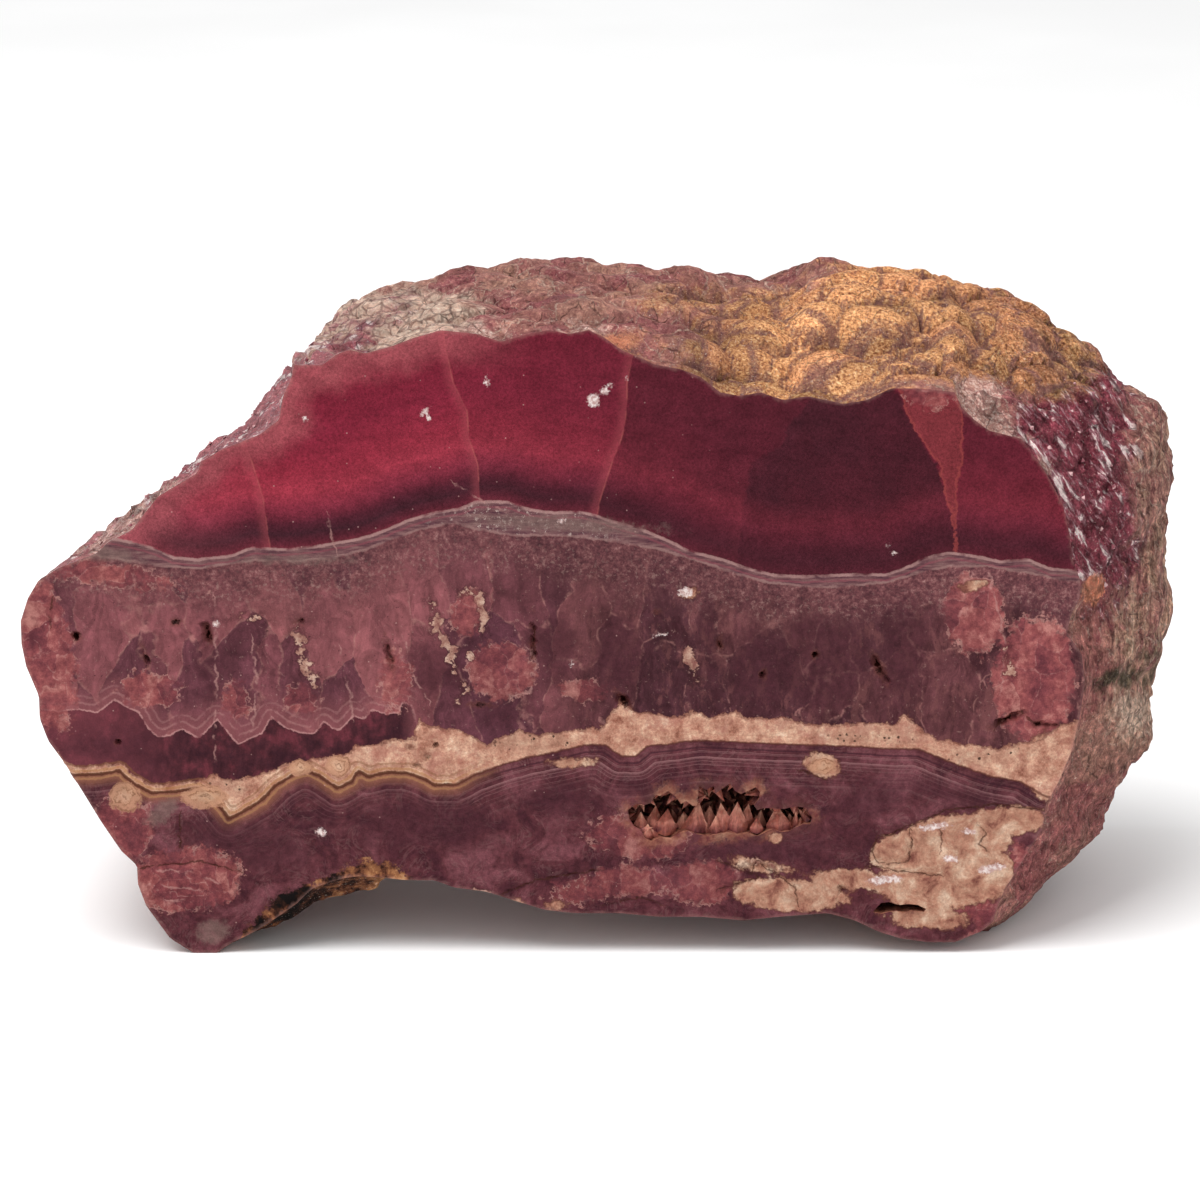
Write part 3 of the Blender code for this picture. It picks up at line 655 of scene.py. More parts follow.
def skin(ring, depth, relief, crystal, scaly):
    """How far the skin stands out at each point of one ring.

    The second result tells, for each point of the golden scales, how far it is from a groove, how
    far behind its scale's middle, and a number of the scale's own.
    """
    height, length, swell, ledged, tilted = relief
    stand = np.zeros(len(ring))
    scales = np.ones((len(ring), 3))
    for index, (x, z) in enumerate(ring):
        here = Vector((x, depth, z))
        spot = here * Vector(LUMP_STRETCH) / length[index]
        near, centres = noise.voronoi(spot)
        stand[index] = height[index] * (LUMP_TOP - LUMP_FALL * near[0] ** 2)
        stand[index] -= tilted[index] * SCALE_TILT * (spot.y - centres[0].y)
        stand[index] += swell[index] * noise.noise(here / SWELL_LENGTH)
        lump_edge = (near[1] - near[0]) * LUMP_EDGE
        if scaly[index] > LEAST_SHARE:
            sway = noise.noise_vector(here / SWAY_LENGTH) * SWAY
            spot = Vector(np.array(here + sway) / SCALE_SIZE)
            near, centres = noise.voronoi(spot)
            behind = spot.y - centres[0].y
            dome = math.sqrt(max(1 - (near[0] / SCALE_ROUND) ** 2, 0.0)) - SCALE_SINK
            stand[index] += scaly[index] * (SCALE_HEIGHT * dome - SCALE_LEAN * behind)
            scales[index] = (min(lump_edge, near[1] - near[0]), behind,
                             noise.cell(centres[0] * SHADE_SEED))
        if crystal[index] > LEAST_SHARE:
            stand[index] += crystal[index] * FACET_SLOPE * facet(here, FACET_SIZE)
        plain = 1 - SCALE_CALM * scaly[index]
        stand[index] += (1 - scaly[index]) * CHUNK_SLOPE * facet(here, CHUNK_SIZE)
        for size, pitch in (KNOBS, WARTS):
            wart = noise.voronoi(here / pitch)[0][0]
            stand[index] += plain * size * (WART_TOP - wart * wart)
        stand[index] += CRUST_GRAIN[0] * noise.noise(here / CRUST_GRAIN[1])
    along = ring[:, 1] * math.cos(LEDGE_DIP) + depth * math.sin(LEDGE_DIP)
    waver = ring[:, 0] * CLEAVAGE_WAVER
    stand += ledged * LEDGE_HEIGHT * steps_of(along / LEDGE_PITCH)
    stand += ledged * CLEAVAGE_HEIGHT * steps_of((along + waver) / CLEAVAGE_PITCH, CLEAVAGE_TREAD)
    return stand * rise(depth, 0.0, RELIEF_START), scales


def chip_lift(x, depth):
    """Height that the weathered chip takes off the arch's edge at the cut face."""
    across = smooth_step(1 - np.abs(x - CHIP_CENTRE_X) / CHIP_HALF_LENGTH)
    return CHIP_LIFT * across * max(1 - depth / CHIP_DEPTH, 0.0)


def in_space(flat, depth):
    """Places (x, z) as points in space, so far behind the cut face."""
    return np.column_stack([flat[:, 0], np.broadcast_to(FACE_Y + depth, len(flat)), flat[:, 1]])


def skin_grid(crowd, rings):
    """The stone's rim as a grid of points, ring by ring, with what skin tells of its scales."""
    noise.seed_set(SWAY_SEED)
    front, girth, back = (rim_points(outline, crowd)
                          for outline in (CUT_FACE_OUTLINE, GIRTH_OUTLINE, SAWN_BACK_OUTLINE))
    span_ids = np.repeat(np.arange(len(SPANS)), [SPAN_SHARES[span] * crowd for span in SPANS])
    table = [[*RELIEF[span], span in LEDGED_SPANS, span == "crown"] for span in SPANS]
    relief = [blended(column[span_ids], BLEND_POINTS) for column in np.array(table, dtype=float).T]
    under = span_ids == SPANS.index("underside")
    part = np.arange(rings) / (rings - 1)
    depths = THICKNESS * ((1 - RING_CROWDING) * part + RING_CROWDING * part ** 2)
    grid, scales = [], []
    for depth in depths:
        bare = section(depth, front, girth, back)
        view = seen(in_space(bare, depth))
        scaly = rise(patch_reach(view, GOLD_PATCHES), *SCALE_EDGE)
        crystal = rise(patch_reach(view, CRYSTAL_PATCHES), *FACET_EDGE) * (1 - scaly)
        stand, own = skin(bare, depth, relief, crystal, scaly)
        ring = bare + outward(bare, 2 * crowd) * stand[:, None]
        ring[:, 1] += under * chip_lift(bare[:, 0], depth)
        ring = np.clip(ring, (STONE_LOW[0] / MM, 0.0), (STONE_HIGH[0] / MM, STONE_HIGH[2] / MM))
        grid.append(in_space(ring, depth))
        scales.append(own)
    return np.array(grid), np.concatenate(scales)


def inside(points, loop):
    """Which points lie inside a closed loop."""
    found = np.zeros(len(points), dtype=bool)
    for (x0, z0), (x1, z1) in zip(loop, np.roll(loop, -1, axis=0)):
        if z0 == z1:
            continue
        crosses = (z0 > points[:, 1]) != (z1 > points[:, 1])
        found ^= crosses & (points[:, 0] < x0 + (points[:, 1] - z0) * (x1 - x0) / (z1 - z0))
    return found


def distance(points, run, closed=False):
    """Distance of each point from a run of straight legs."""
    run = np.asarray(run, dtype=float)
    ends = np.roll(run, -1, axis=0) if closed else run[1:]
    starts = run if closed else run[:-1]
    least = np.full(len(points), np.inf)
    for start, end in zip(starts, ends):
        leg = end - start
        share = np.clip((points - start) @ leg / (leg @ leg + 1e-12), 0.0, 1.0)
        away = points - start - share[:, None] * leg
        least = np.minimum(least, np.einsum("ij,ij->i", away, away))
    return np.sqrt(least)


def height_above(points, pixels):
    """Distance of each point above a line of the banding, and below it as a negative number."""
    line = places(pixels)
    above = points[:, 1] > np.interp(points[:, 0], line[:, 0], line[:, 1])
    return np.where(above, 1.0, -1.0) * distance(points, line)


def patch_reach(points, patches):
    """Distance of each point within the nearest of some oval patches, negative outside them."""
    best = np.full(len(points), FAR_OUTSIDE)
    for px, py, half_width, half_height, turn in patches:
        centre = np.array(on_face(px, py))
        angle = math.radians(turn)
        away = points - centre
        across = away[:, 0] * math.cos(angle) + away[:, 1] * math.sin(angle)
        up = away[:, 1] * math.cos(angle) - away[:, 0] * math.sin(angle)
        half = np.array([half_width, half_height]) / CAMERA_SCALE
        far = np.sqrt((across / half[0]) ** 2 + (up / half[1]) ** 2)
        best = np.maximum(best, (1 - far) * half.min())
    return best


def nearest_run(points, runs):
    """Distance of each point from the nearest of some lines, and the same signed by its side."""
    best = np.full(len(points), FAR_AWAY)
    side = np.ones(len(points))
    for run in runs:
        line = places(run)
        for start, end in zip(line, line[1:]):
            leg, away = end - start, points - start
            share = np.clip(away @ leg / (leg @ leg), 0.0, 1.0)
            far = np.linalg.norm(away - share[:, None] * leg, axis=1)
            closer = far < best
            best[closer] = far[closer]
            turned = leg[0] * away[closer, 1] - leg[1] * away[closer, 0]
            side[closer] = np.where(turned < 0, -1.0, 1.0)
    return best, best * side


def eye_rings(points):
    """Distance from the nearest ring centre, as a share of how far its rings reach."""
    best = np.full(len(points), NO_RINGS)
    for px, py, half_width, half_height, reach in EYES:
        away = points - np.array(on_face(px, py))
        flat = np.array([half_width, half_height]) / min(half_width, half_height)
        far = np.sqrt((away[:, 0] / flat[0]) ** 2 + (away[:, 1] / flat[1]) ** 2)
        best = np.minimum(best, far / reach)
    return best


def block_dark(points):
    """Darkness of the crimson zone at each point, which jumps at each fracture."""
    runs = [places(run) for run in FRACTURES]
    edges = [np.full(len(points), -FACE_REACH)]
    edges += [np.interp(points[:, 1], run[::-1, 1], run[::-1, 0]) for run in runs]
    edges.append(np.full(len(points), FACE_REACH))
    dark = np.zeros(len(points))
    for (at_left, at_right), left, right in zip(BLOCK_DARK, edges, edges[1:]):
        here = (points[:, 0] >= left) & (points[:, 0] < right)
        share = np.clip((points[:, 0] - left) / (right - left + 1e-6), 0, 1)
        dark = np.where(here, at_left + (at_right - at_left) * share, dark)
    return dark


def face_fields(points, rim):
    """Every marking field of the banding at each point, packed in threes."""
    wedge_left, wedge_right = (np.interp(points[:, 1], side[::-1, 1], side[::-1, 0])
                               for side in map(places, WEDGE_SIDES))
    wedge = np.minimum(points[:, 0] - wedge_left, wedge_right - points[:, 0])
    ochre_line = places(OCHRE_TOP)
    ochre = np.where((points[:, 0] > ochre_line[0, 0]) & (points[:, 0] < ochre_line[-1, 0]),
                     -height_above(points, OCHRE_TOP), FAR_OUTSIDE)
    wavy, second, top, foot, scallop = (height_above(points, line) for line in (
        WAVY_LINE, SECOND_LINE, CREAM_TOP, CREAM_FOOT, SCALLOP_LINE))
    vein, crack, thread, fracture = (nearest_run(points, runs)
                                     for runs in (VEINS, CRACKS, THREADS, FRACTURES))
    pink, cream, dark, grey, white, pits, grit = (patch_reach(points, patches) for patches in (
        PINK_PATCHES, CREAM_PATCHES, DARK_PATCHES, GREY_PATCHES, WHITE_SCUFFS, PITS, GRIT_PATCHES))
    return {
        "bands": (wavy, second, distance(points, rim, closed=True)),
        "cream": (top, foot, scallop),
        "near": (vein[0], crack[0], fracture[0]),
        "across": (vein[1], crack[1], fracture[1]),
        "threads": (*thread, distance(points, places(HOLLOW_RIM), closed=True)),
        "patches": (pink, cream, dark),
        "stains": (grey, ochre, white),
        "shades": (block_dark(points), wedge, eye_rings(points)),
        "wear": (pits, points[:, 0], grit),
    }


def skin_fields(points, scales):
    """What the skin is made of at each of its points, packed in threes."""
    view = seen(points)
    fields = {name: [patch_reach(view, patches) for patches in parts] for name, parts in (
        ("minerals", (GOLD_PATCHES, CRUST_PATCHES, CRYSTAL_PATCHES)),
        ("weather", (MOSS_PATCHES, TAN_PATCHES, RED_PATCHES)),
        ("tints", (PALE_PATCHES, ORANGE_PATCHES)))}
    return {**fields, "scales": scales.T}


def filled(loop, holes, spacing, seed):
    """Points and triangles that fill a loop around its holes, the loops' own points first."""
    low, high = loop.min(axis=0), loop.max(axis=0)
    rows = np.arange(low[1], high[1], spacing * math.sqrt(3) / 2)
    columns = np.arange(low[0], high[0], spacing)
    across, up = np.meshgrid(columns, rows)
    across[1::2] += spacing / 2
    points = np.stack([across.ravel(), up.ravel()], axis=1)
    points += np.random.default_rng(seed).uniform(-POINT_SHAKE, POINT_SHAKE, points.shape) * spacing
    keep = inside(points, loop) & (distance(points, loop, closed=True) > spacing * LOOP_GAP)
    for hole in holes:
        keep &= ~inside(points, hole) & (distance(points, hole, closed=True) > spacing * HOLE_GAP)
    points = points[keep]
    coordinates, edges = [], []
    for ring in [loop, *holes]:
        first = len(coordinates)
        coordinates += [Vector(p) for p in ring]
        edges += [(first + i, first + (i + 1) % len(ring)) for i in range(len(ring))]
    coordinates += [Vector(p) for p in points]
    _, _, faces, origins, _, _ = delaunay_2d_cdt(coordinates, edges, [], 0, 1e-7)
    triangles = np.array([[origins[corner][0] for corner in face] for face in faces])
    flat = np.array([tuple(c) for c in coordinates])
    middles = flat[triangles].mean(axis=1)
    keep = inside(middles, loop)
    for hole in holes:
        keep &= ~inside(middles, hole)
    return points, triangles[keep]


def pocket_rings(rim, steps, roughness):
    """Rings of a hollow's wall, from its rim inwards, made ragged by noise."""
    centre = (rim.min(axis=0) + rim.max(axis=0)) / 2
    rings = []
    for depth, scale in steps[1:]:
        ring = centre + (rim - centre) * scale
        push = [noise.noise(Vector((x, depth, z)) * WALL_LUMPS + WALL_SHIFT) for x, z in ring]
        ring += outward(ring, 1) * (roughness * rise(depth, 0.0, 2.0) * np.array(push))[:, None]
        rings.append(in_space(ring, depth))
    return rings


class Shell:
    """The points and faces of a mesh under construction, with each face's finish."""

    def __init__(self):
        self.points, self.faces, self.finishes = [], [], []

    def add_points(self, new):
        """Keep new points and tell their numbers."""
        first = sum(len(points) for points in self.points)
        self.points.append(new)
        return np.arange(first, first + len(new))

    def add_faces(self, faces, finish):
        self.faces += faces
        self.finishes += [finish] * len(faces)

    def add_band(self, near, far, finish):
        """Four-cornered faces between two rings of points."""
        corners = near, np.roll(near, -1), np.roll(far, -1), far
        self.add_faces(np.stack(corners, axis=1).tolist(), finish)


def relief_of_face(points, fields):
    """How far the cut face is worn in at each point: pits, cracks and the wear round them."""
    spots = np.column_stack([points, np.zeros(len(points))])
    ragged, uneven = (reach * noise_at(spots, length) for reach, length in (PIT_SHAKE, WEAR_SHAKE))
    pits = PIT_DEPTH * rise(fields["wear"][0] + ragged, *PIT_EDGE)
    cracks = CRACK_DEPTH * (1 - rise(fields["near"][1], *CRACK_EDGE))
    cream, ochre = fields["patches"][1], fields["stains"][1]
    worn = CREAM_WEAR * rise(cream, 0.0, WEAR_EDGE) + OCHRE_WEAR * rise(ochre, 0.0, WEAR_EDGE)
    return np.maximum(pits + cracks + worn * (1 + uneven), 0.0)


def build_stone(settings):
    """The whole stone as one closed mesh, with its marking fields."""
    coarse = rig.quick()
    crowd = QUICK_CROWDING if coarse else settings.skin_crowding
    rings = QUICK_RINGS if coarse else settings.skin_rings
    spacing = settings.face_spacing * (QUICK_SPACING if coarse else 1.0) / MM
    grid, scales = skin_grid(crowd, rings)
    shell = Shell()
    numbers = shell.add_points(grid.reshape(-1, 3)).reshape(rings, -1)
    for near, far in zip(numbers, numbers[1:]):
        shell.add_band(near, far, RIND)

    loop = grid[0][:, (0, 2)]
    holes = [places(HOLLOW_RIM), places(SLIT_RIM)]
    points, triangles = filled(loop, holes, spacing, 3)
    fields = face_fields(points, loop)
    depth = relief_of_face(points, fields) * rise(fields["bands"][2], 0.0, 1.0)
    depth *= rise(fields["threads"][2], 0.0, 0.5)
    rims = [shell.add_points(in_space(hole, 0.0)) for hole in holes]
    order = np.concatenate([numbers[0], *rims, shell.add_points(in_space(points, depth))])
    shell.add_faces(order[triangles].tolist(), POLISHED)

    for near, hole, steps, roughness in zip(rims, holes, (HOLLOW_STEPS, SLIT_STEPS), WALL_ROUGHNESS):
        for ring in pocket_rings(hole, steps, roughness):
            far = shell.add_points(ring)
            shell.add_band(near, far, WALL)
            near = far
        shell.add_faces([near.tolist()], WALL)

    points, triangles = filled(grid[-1][:, (0, 2)], [], spacing * BACK_SPACING, 8)
    order = np.concatenate([numbers[-1], shell.add_points(in_space(points, THICKNESS))])
    shell.add_faces(order[triangles].tolist(), SAWN)

    vertices = np.concatenate(shell.points)
    mesh = bpy.data.meshes.new("stone")
    mesh.from_pydata((vertices * MM).tolist(), [], shell.faces)
    mesh.polygons.foreach_set("material_index", shell.finishes)
    close_up(mesh)
    add_fields(mesh, vertices, grid[0], scales)
    return mesh


def close_up(mesh):
    """Turn a closed mesh's faces outwards and mark its sharp edges."""
    work = bmesh.new()
    work.from_mesh(mesh)
    bmesh.ops.recalc_face_normals(work, faces=work.faces)
    work.to_mesh(mesh)
    work.free()
    mesh.shade_smooth()
    mesh.set_sharp_from_angle(angle=SHARP_EDGE)


def store(mesh, name, parts):
    """Keep up to three numbers for each vertex under one name."""
    packed = np.zeros((len(mesh.vertices), 3))
    packed[:, :len(parts)] = np.transpose(parts)
    mesh.attributes.new(name, "FLOAT_VECTOR", "POINT").data.foreach_set("vector", packed.ravel())


def add_fields(mesh, vertices, rim, scales):
    """Work out the marking fields over the whole stone. Towards the back the layers drift."""
    depth = vertices[:, 1] - FACE_Y
    drift = DRIFT * noise_at(vertices * DRIFT_STRETCH, DRIFT_LENGTH)
    deep = rise(depth, LAYER_START, THICKNESS)
    flat = np.column_stack([
        vertices[:, 0] * (1 + LAYER_SPREAD[0] * deep) - LAYER_LEAN * deep + drift * deep,
        vertices[:, 2] * (1 + LAYER_SPREAD[1] * deep) + DRIFT_UP * deep * drift])
    fields = face_fields(flat, rim[:, (0, 2)])
    outer = len(scales)
    spare = np.ones((len(vertices) - outer, 3))
    fields.update(skin_fields(vertices, np.concatenate([scales, spare])))
    view = seen(vertices[:outer])
    line = places(OCHRE_TOP)
    shown = (view[:, 0] > line[0, 0]) & (view[:, 0] < line[-1, 0]) & (depth[:outer] < OCHRE_DEPTH)
    below = -height_above(view, OCHRE_TOP)
    fields["stains"][1][:outer] = np.where(shown & (below < OCHRE_DEPTH), below, FAR_OUTSIDE)
    for name, parts in fields.items():
        store(mesh, name, parts)


class Finish:
    """A material under construction, with short calls for its nodes."""

    def __init__(self, name):
        self.material = bpy.data.materials.new(name)
        self.material.use_nodes = True
        self.tree = self.material.node_tree
        self.shader = self.tree.nodes["Principled BSDF"]
        where = self.node("ShaderNodeTexCoord")
        self.place = self.vector("SCALE", where.outputs["Object"], scale=1 / MM)

    def node(self, kind, **settings):
        made = self.tree.nodes.new(kind)
        for name, value in settings.items():
            setattr(made, name, value)
        return made

    def put(self, socket, value):
        if isinstance(value, bpy.types.NodeSocket):
            self.tree.links.new(value, socket)
        elif isinstance(value, str):
            socket.default_value = linear(value)[:len(socket.default_value)]
        else:
            socket.default_value = value

    def vector(self, operation, first, second=None, scale=None):
        made = self.node("ShaderNodeVectorMath", operation=operation)
        self.put(made.inputs[0], first)
        if second is not None:
            self.put(made.inputs[1], second)
        if scale is not None:
            self.put(made.inputs["Scale"], scale)
        return made.outputs["Vector"]

    def parted(self, vector):
        """A vector's three numbers, each as a socket."""
        made = self.node("ShaderNodeSeparateXYZ")
        self.put(made.inputs[0], vector)
        return made.outputs

    def field(self, name):
        """The three numbers kept under a name, each as a socket."""
        return self.parted(self.node("ShaderNodeAttribute", attribute_name=name).outputs["Vector"])

    def own(self, cells):
        """Three random numbers of each cell's own, each as a socket."""
        made = self.node("ShaderNodeSeparateColor")
        self.put(made.inputs[0], cells["Color"])
        return made.outputs

    def point(self, x=0.0, y=0.0, z=0.0):
        """A place made from its three numbers."""
        made = self.node("ShaderNodeCombineXYZ")
        for socket, value in zip(made.inputs, (x, y, z)):
            self.put(socket, value)
        return made.outputs[0]

    def math(self, operation, *values):
        made = self.node("ShaderNodeMath", operation=operation)
        for socket, value in zip(made.inputs, values):
            self.put(socket, value)
        return made.outputs[0]

    def add(self, first, *others):
        for other in others:
            first = self.math("ADD", first, other)
        return first

    def times(self, first, *others):
        for other in others:
            first = self.math("MULTIPLY", first, other)
        return first

    def centred(self, pattern):
        """A pattern moved down, so that it lies evenly round zero."""
        return self.math("SUBTRACT", pattern, 0.5)

    def rise(self, value, low, high):
        """0 below low, 1 above high, and a smooth climb between them."""
        made = self.node("ShaderNodeMapRange", interpolation_type="SMOOTHSTEP")
        self.put(made.inputs["Value"], value)
        self.put(made.inputs["From Min"], low)
        self.put(made.inputs["From Max"], high)
        return made.outputs["Result"]

    def fall(self, value, low, high, most=1.0):
        """The given most below low, 0 above high, and a smooth drop between them."""
        dropped = self.math("SUBTRACT", 1.0, self.rise(value, low, high))
        return dropped if most == 1.0 else self.times(dropped, most)

    def spread(self, value, low, high, least, most):
        """A value between low and high, spread evenly from least to most."""
        made = self.node("ShaderNodeMapRange")
        for name, given in (("Value", value), ("From Min", low), ("From Max", high),
                            ("To Min", least), ("To Max", most)):
            self.put(made.inputs[name], given)
        return made.outputs["Result"]

    def between(self, share, least, most):
        """least where the share is 0, most where it is 1."""
        return self.spread(share, 0.0, 1.0, least, most)

    def grained(self, tone, pattern, strength):
        """A tone made darker and lighter by a pattern."""
        lightness = self.spread(pattern, 0.3, 0.7, 1 - strength, 1 + strength)
        return self.vector("SCALE", tone, scale=lightness)

    def stroke(self, near, across, half_width, soft=0.12):
        """1 on a thin line, given its distance and the same signed by its side."""
        return self.times(self.line(across, half_width, soft), self.fall(near, 0.34, 0.5))

    def line(self, value, half_width, soft=0.12):
        """1 where the value is near zero, 0 away from it."""
        return self.fall(self.math("ABSOLUTE", value), half_width, half_width + soft)

    def mix(self, share, first, second):
        made = self.node("ShaderNodeMix", data_type="RGBA")
        self.put(made.inputs[0], share)
        self.put(made.inputs[6], first)
        self.put(made.inputs[7], second)
        return made.outputs[2]

    def over(self, tone, mask, colour, share):
        """A tone with a colour laid over it where the mask is 1, as thickly as the share says."""
        return self.mix(self.times(mask, share), tone, colour)

    def ramp(self, value, *stops):
        made = self.node("ShaderNodeValToRGB")
        self.put(made.inputs[0], value)
        steps = made.color_ramp.elements
        while len(steps) < len(stops):
            steps.new(1.0)
        for step, (at, colour) in zip(steps, stops):
            step.position = at
            step.color = linear(colour)
        return made.outputs["Color"]

    def noise(self, scale, detail=3.0, rough=0.55, place=None, warp=0.0):
        made = self.node("ShaderNodeTexNoise")
        self.put(made.inputs["Vector"], place or self.place)
        made.inputs["Scale"].default_value = scale
        made.inputs["Detail"].default_value = detail
        made.inputs["Roughness"].default_value = rough
        made.inputs["Distortion"].default_value = warp
        return made.outputs["Fac"]

    def cells(self, scale, feature="F1", place=None):
        made = self.node("ShaderNodeTexVoronoi", feature=feature)
        self.put(made.inputs["Vector"], place or self.place)
        made.inputs["Scale"].default_value = scale
        return made.outputs

    def stretched(self, x, y, z, warp=0.0):
        """Places squeezed along each axis, and shaken by noise."""
        squeezed = self.vector("MULTIPLY", self.place, (x, y, z))
        if not warp:
            return squeezed
        shake = self.node("ShaderNodeTexNoise")
        self.put(shake.inputs["Vector"], self.place)
        shake.inputs["Scale"].default_value = 0.25
        shaken = self.vector("SCALE", shake.outputs["Color"], scale=warp)
        return self.vector("ADD", squeezed, shaken)

    def slanted(self, angle, x, y, z):
        """Places turned about Y by an angle, then squeezed along each axis."""
        made = self.node("ShaderNodeMapping", vector_type="TEXTURE")
        self.put(made.inputs["Vector"], self.place)
        made.inputs["Rotation"].default_value = (0.0, angle, 0.0)
        made.inputs["Scale"].default_value = (1 / x, 1 / y, 1 / z)
        return made.outputs["Vector"]

    def finish(self, colour, roughness, height=None, depth=0.1, specular=0.08):
        """Connect the finished colour, roughness and height to the surface."""
        self.put(self.shader.inputs["Base Color"], colour)
        self.put(self.shader.inputs["Roughness"], roughness)
        self.shader.inputs["Specular IOR Level"].default_value = specular
        if height is not None:
            bump = self.node("ShaderNodeBump")
            bump.inputs["Strength"].default_value = 1.0
            bump.inputs["Distance"].default_value = depth * MM
            self.put(bump.inputs["Height"], height)
            self.put(self.shader.inputs["Normal"], bump.outputs["Normal"])
        return self.material


def crimson_zone(f, wavy, bands, shades, near, across, wear, wander):
    """The clear crimson layer: dark at its foot, glowing above it, in fractured blocks."""
    tone = f.ramp(f.math("DIVIDE", wavy, 32.0), (0.0, "#6b2a35"), (0.025, "#56222d"), (0.06, "#401f28"),
                  (0.1, "#50202c"), (0.16, "#7f2d3d"), (0.23, "#973342"), (0.31, "#8c2b3b"),
                  (0.45, "#7d2436"), (0.7, "#782233"), (1.0, "#792536"))
    right = f.rise(wear[1], -30.0, 20.0)
    tone = f.over(tone, right, "#5c212d", 0.42)
    dark = f.times(shades[0], f.spread(wander, 0.3, 0.7, 0.9, 1.05))
    dark = f.times(dark, f.between(f.rise(wavy, 5.5, 10.0), 0.62, 1.0))
    tone = f.mix(f.math("MINIMUM", dark, 1.0), tone, "#421c25")
    strip = f.times(f.fall(f.add(bands[2], f.times(wander, 6.0)), 3.8, 8.0), f.fall(wear[1], -24.0, -8.0))
    tone = f.over(tone, strip, "#9b4d53", 0.85)
    tone = f.mix(f.fall(wear[1], -62.0, -42.0, 0.45), tone, "#8a434c")
    wedge = f.add(shades[1], f.times(f.centred(f.noise(0.45, 4, 0.65)), 2.2))
    tone = f.over(tone, f.rise(wedge, -0.1, 0.15), "#7d3438", 0.75)
    veil = f.noise(0.16, 3, 0.6, place=f.stretched(1.0, 1.0, 2.2), warp=0.8)
    tone = f.grained(tone, veil, 0.16)
    tone = f.grained(tone, f.noise(3.4, 2, 0.9), 0.32)
    glow = f.times(f.fall(near[2], 0.0, 1.6), f.fall(across[2], -0.05, 0.05))
    tone = f.over(tone, glow, "#b0525a", f.times(f.fall(wear[1], 0.0, 20.0), 0.3))
    healed = f.times(f.stroke(near[2], across[2], 0.03, 0.14), f.rise(f.noise(0.4, 3), 0.38, 0.6))
    tone = f.over(tone, healed, "#b5605c", f.fall(wear[1], 4.0, 16.0, 0.4))
    salmon = f.times(f.line(f.add(wedge, -0.1), 0.05, 0.18), 0.28)
    return f.mix(salmon, tone, "#b0524a")


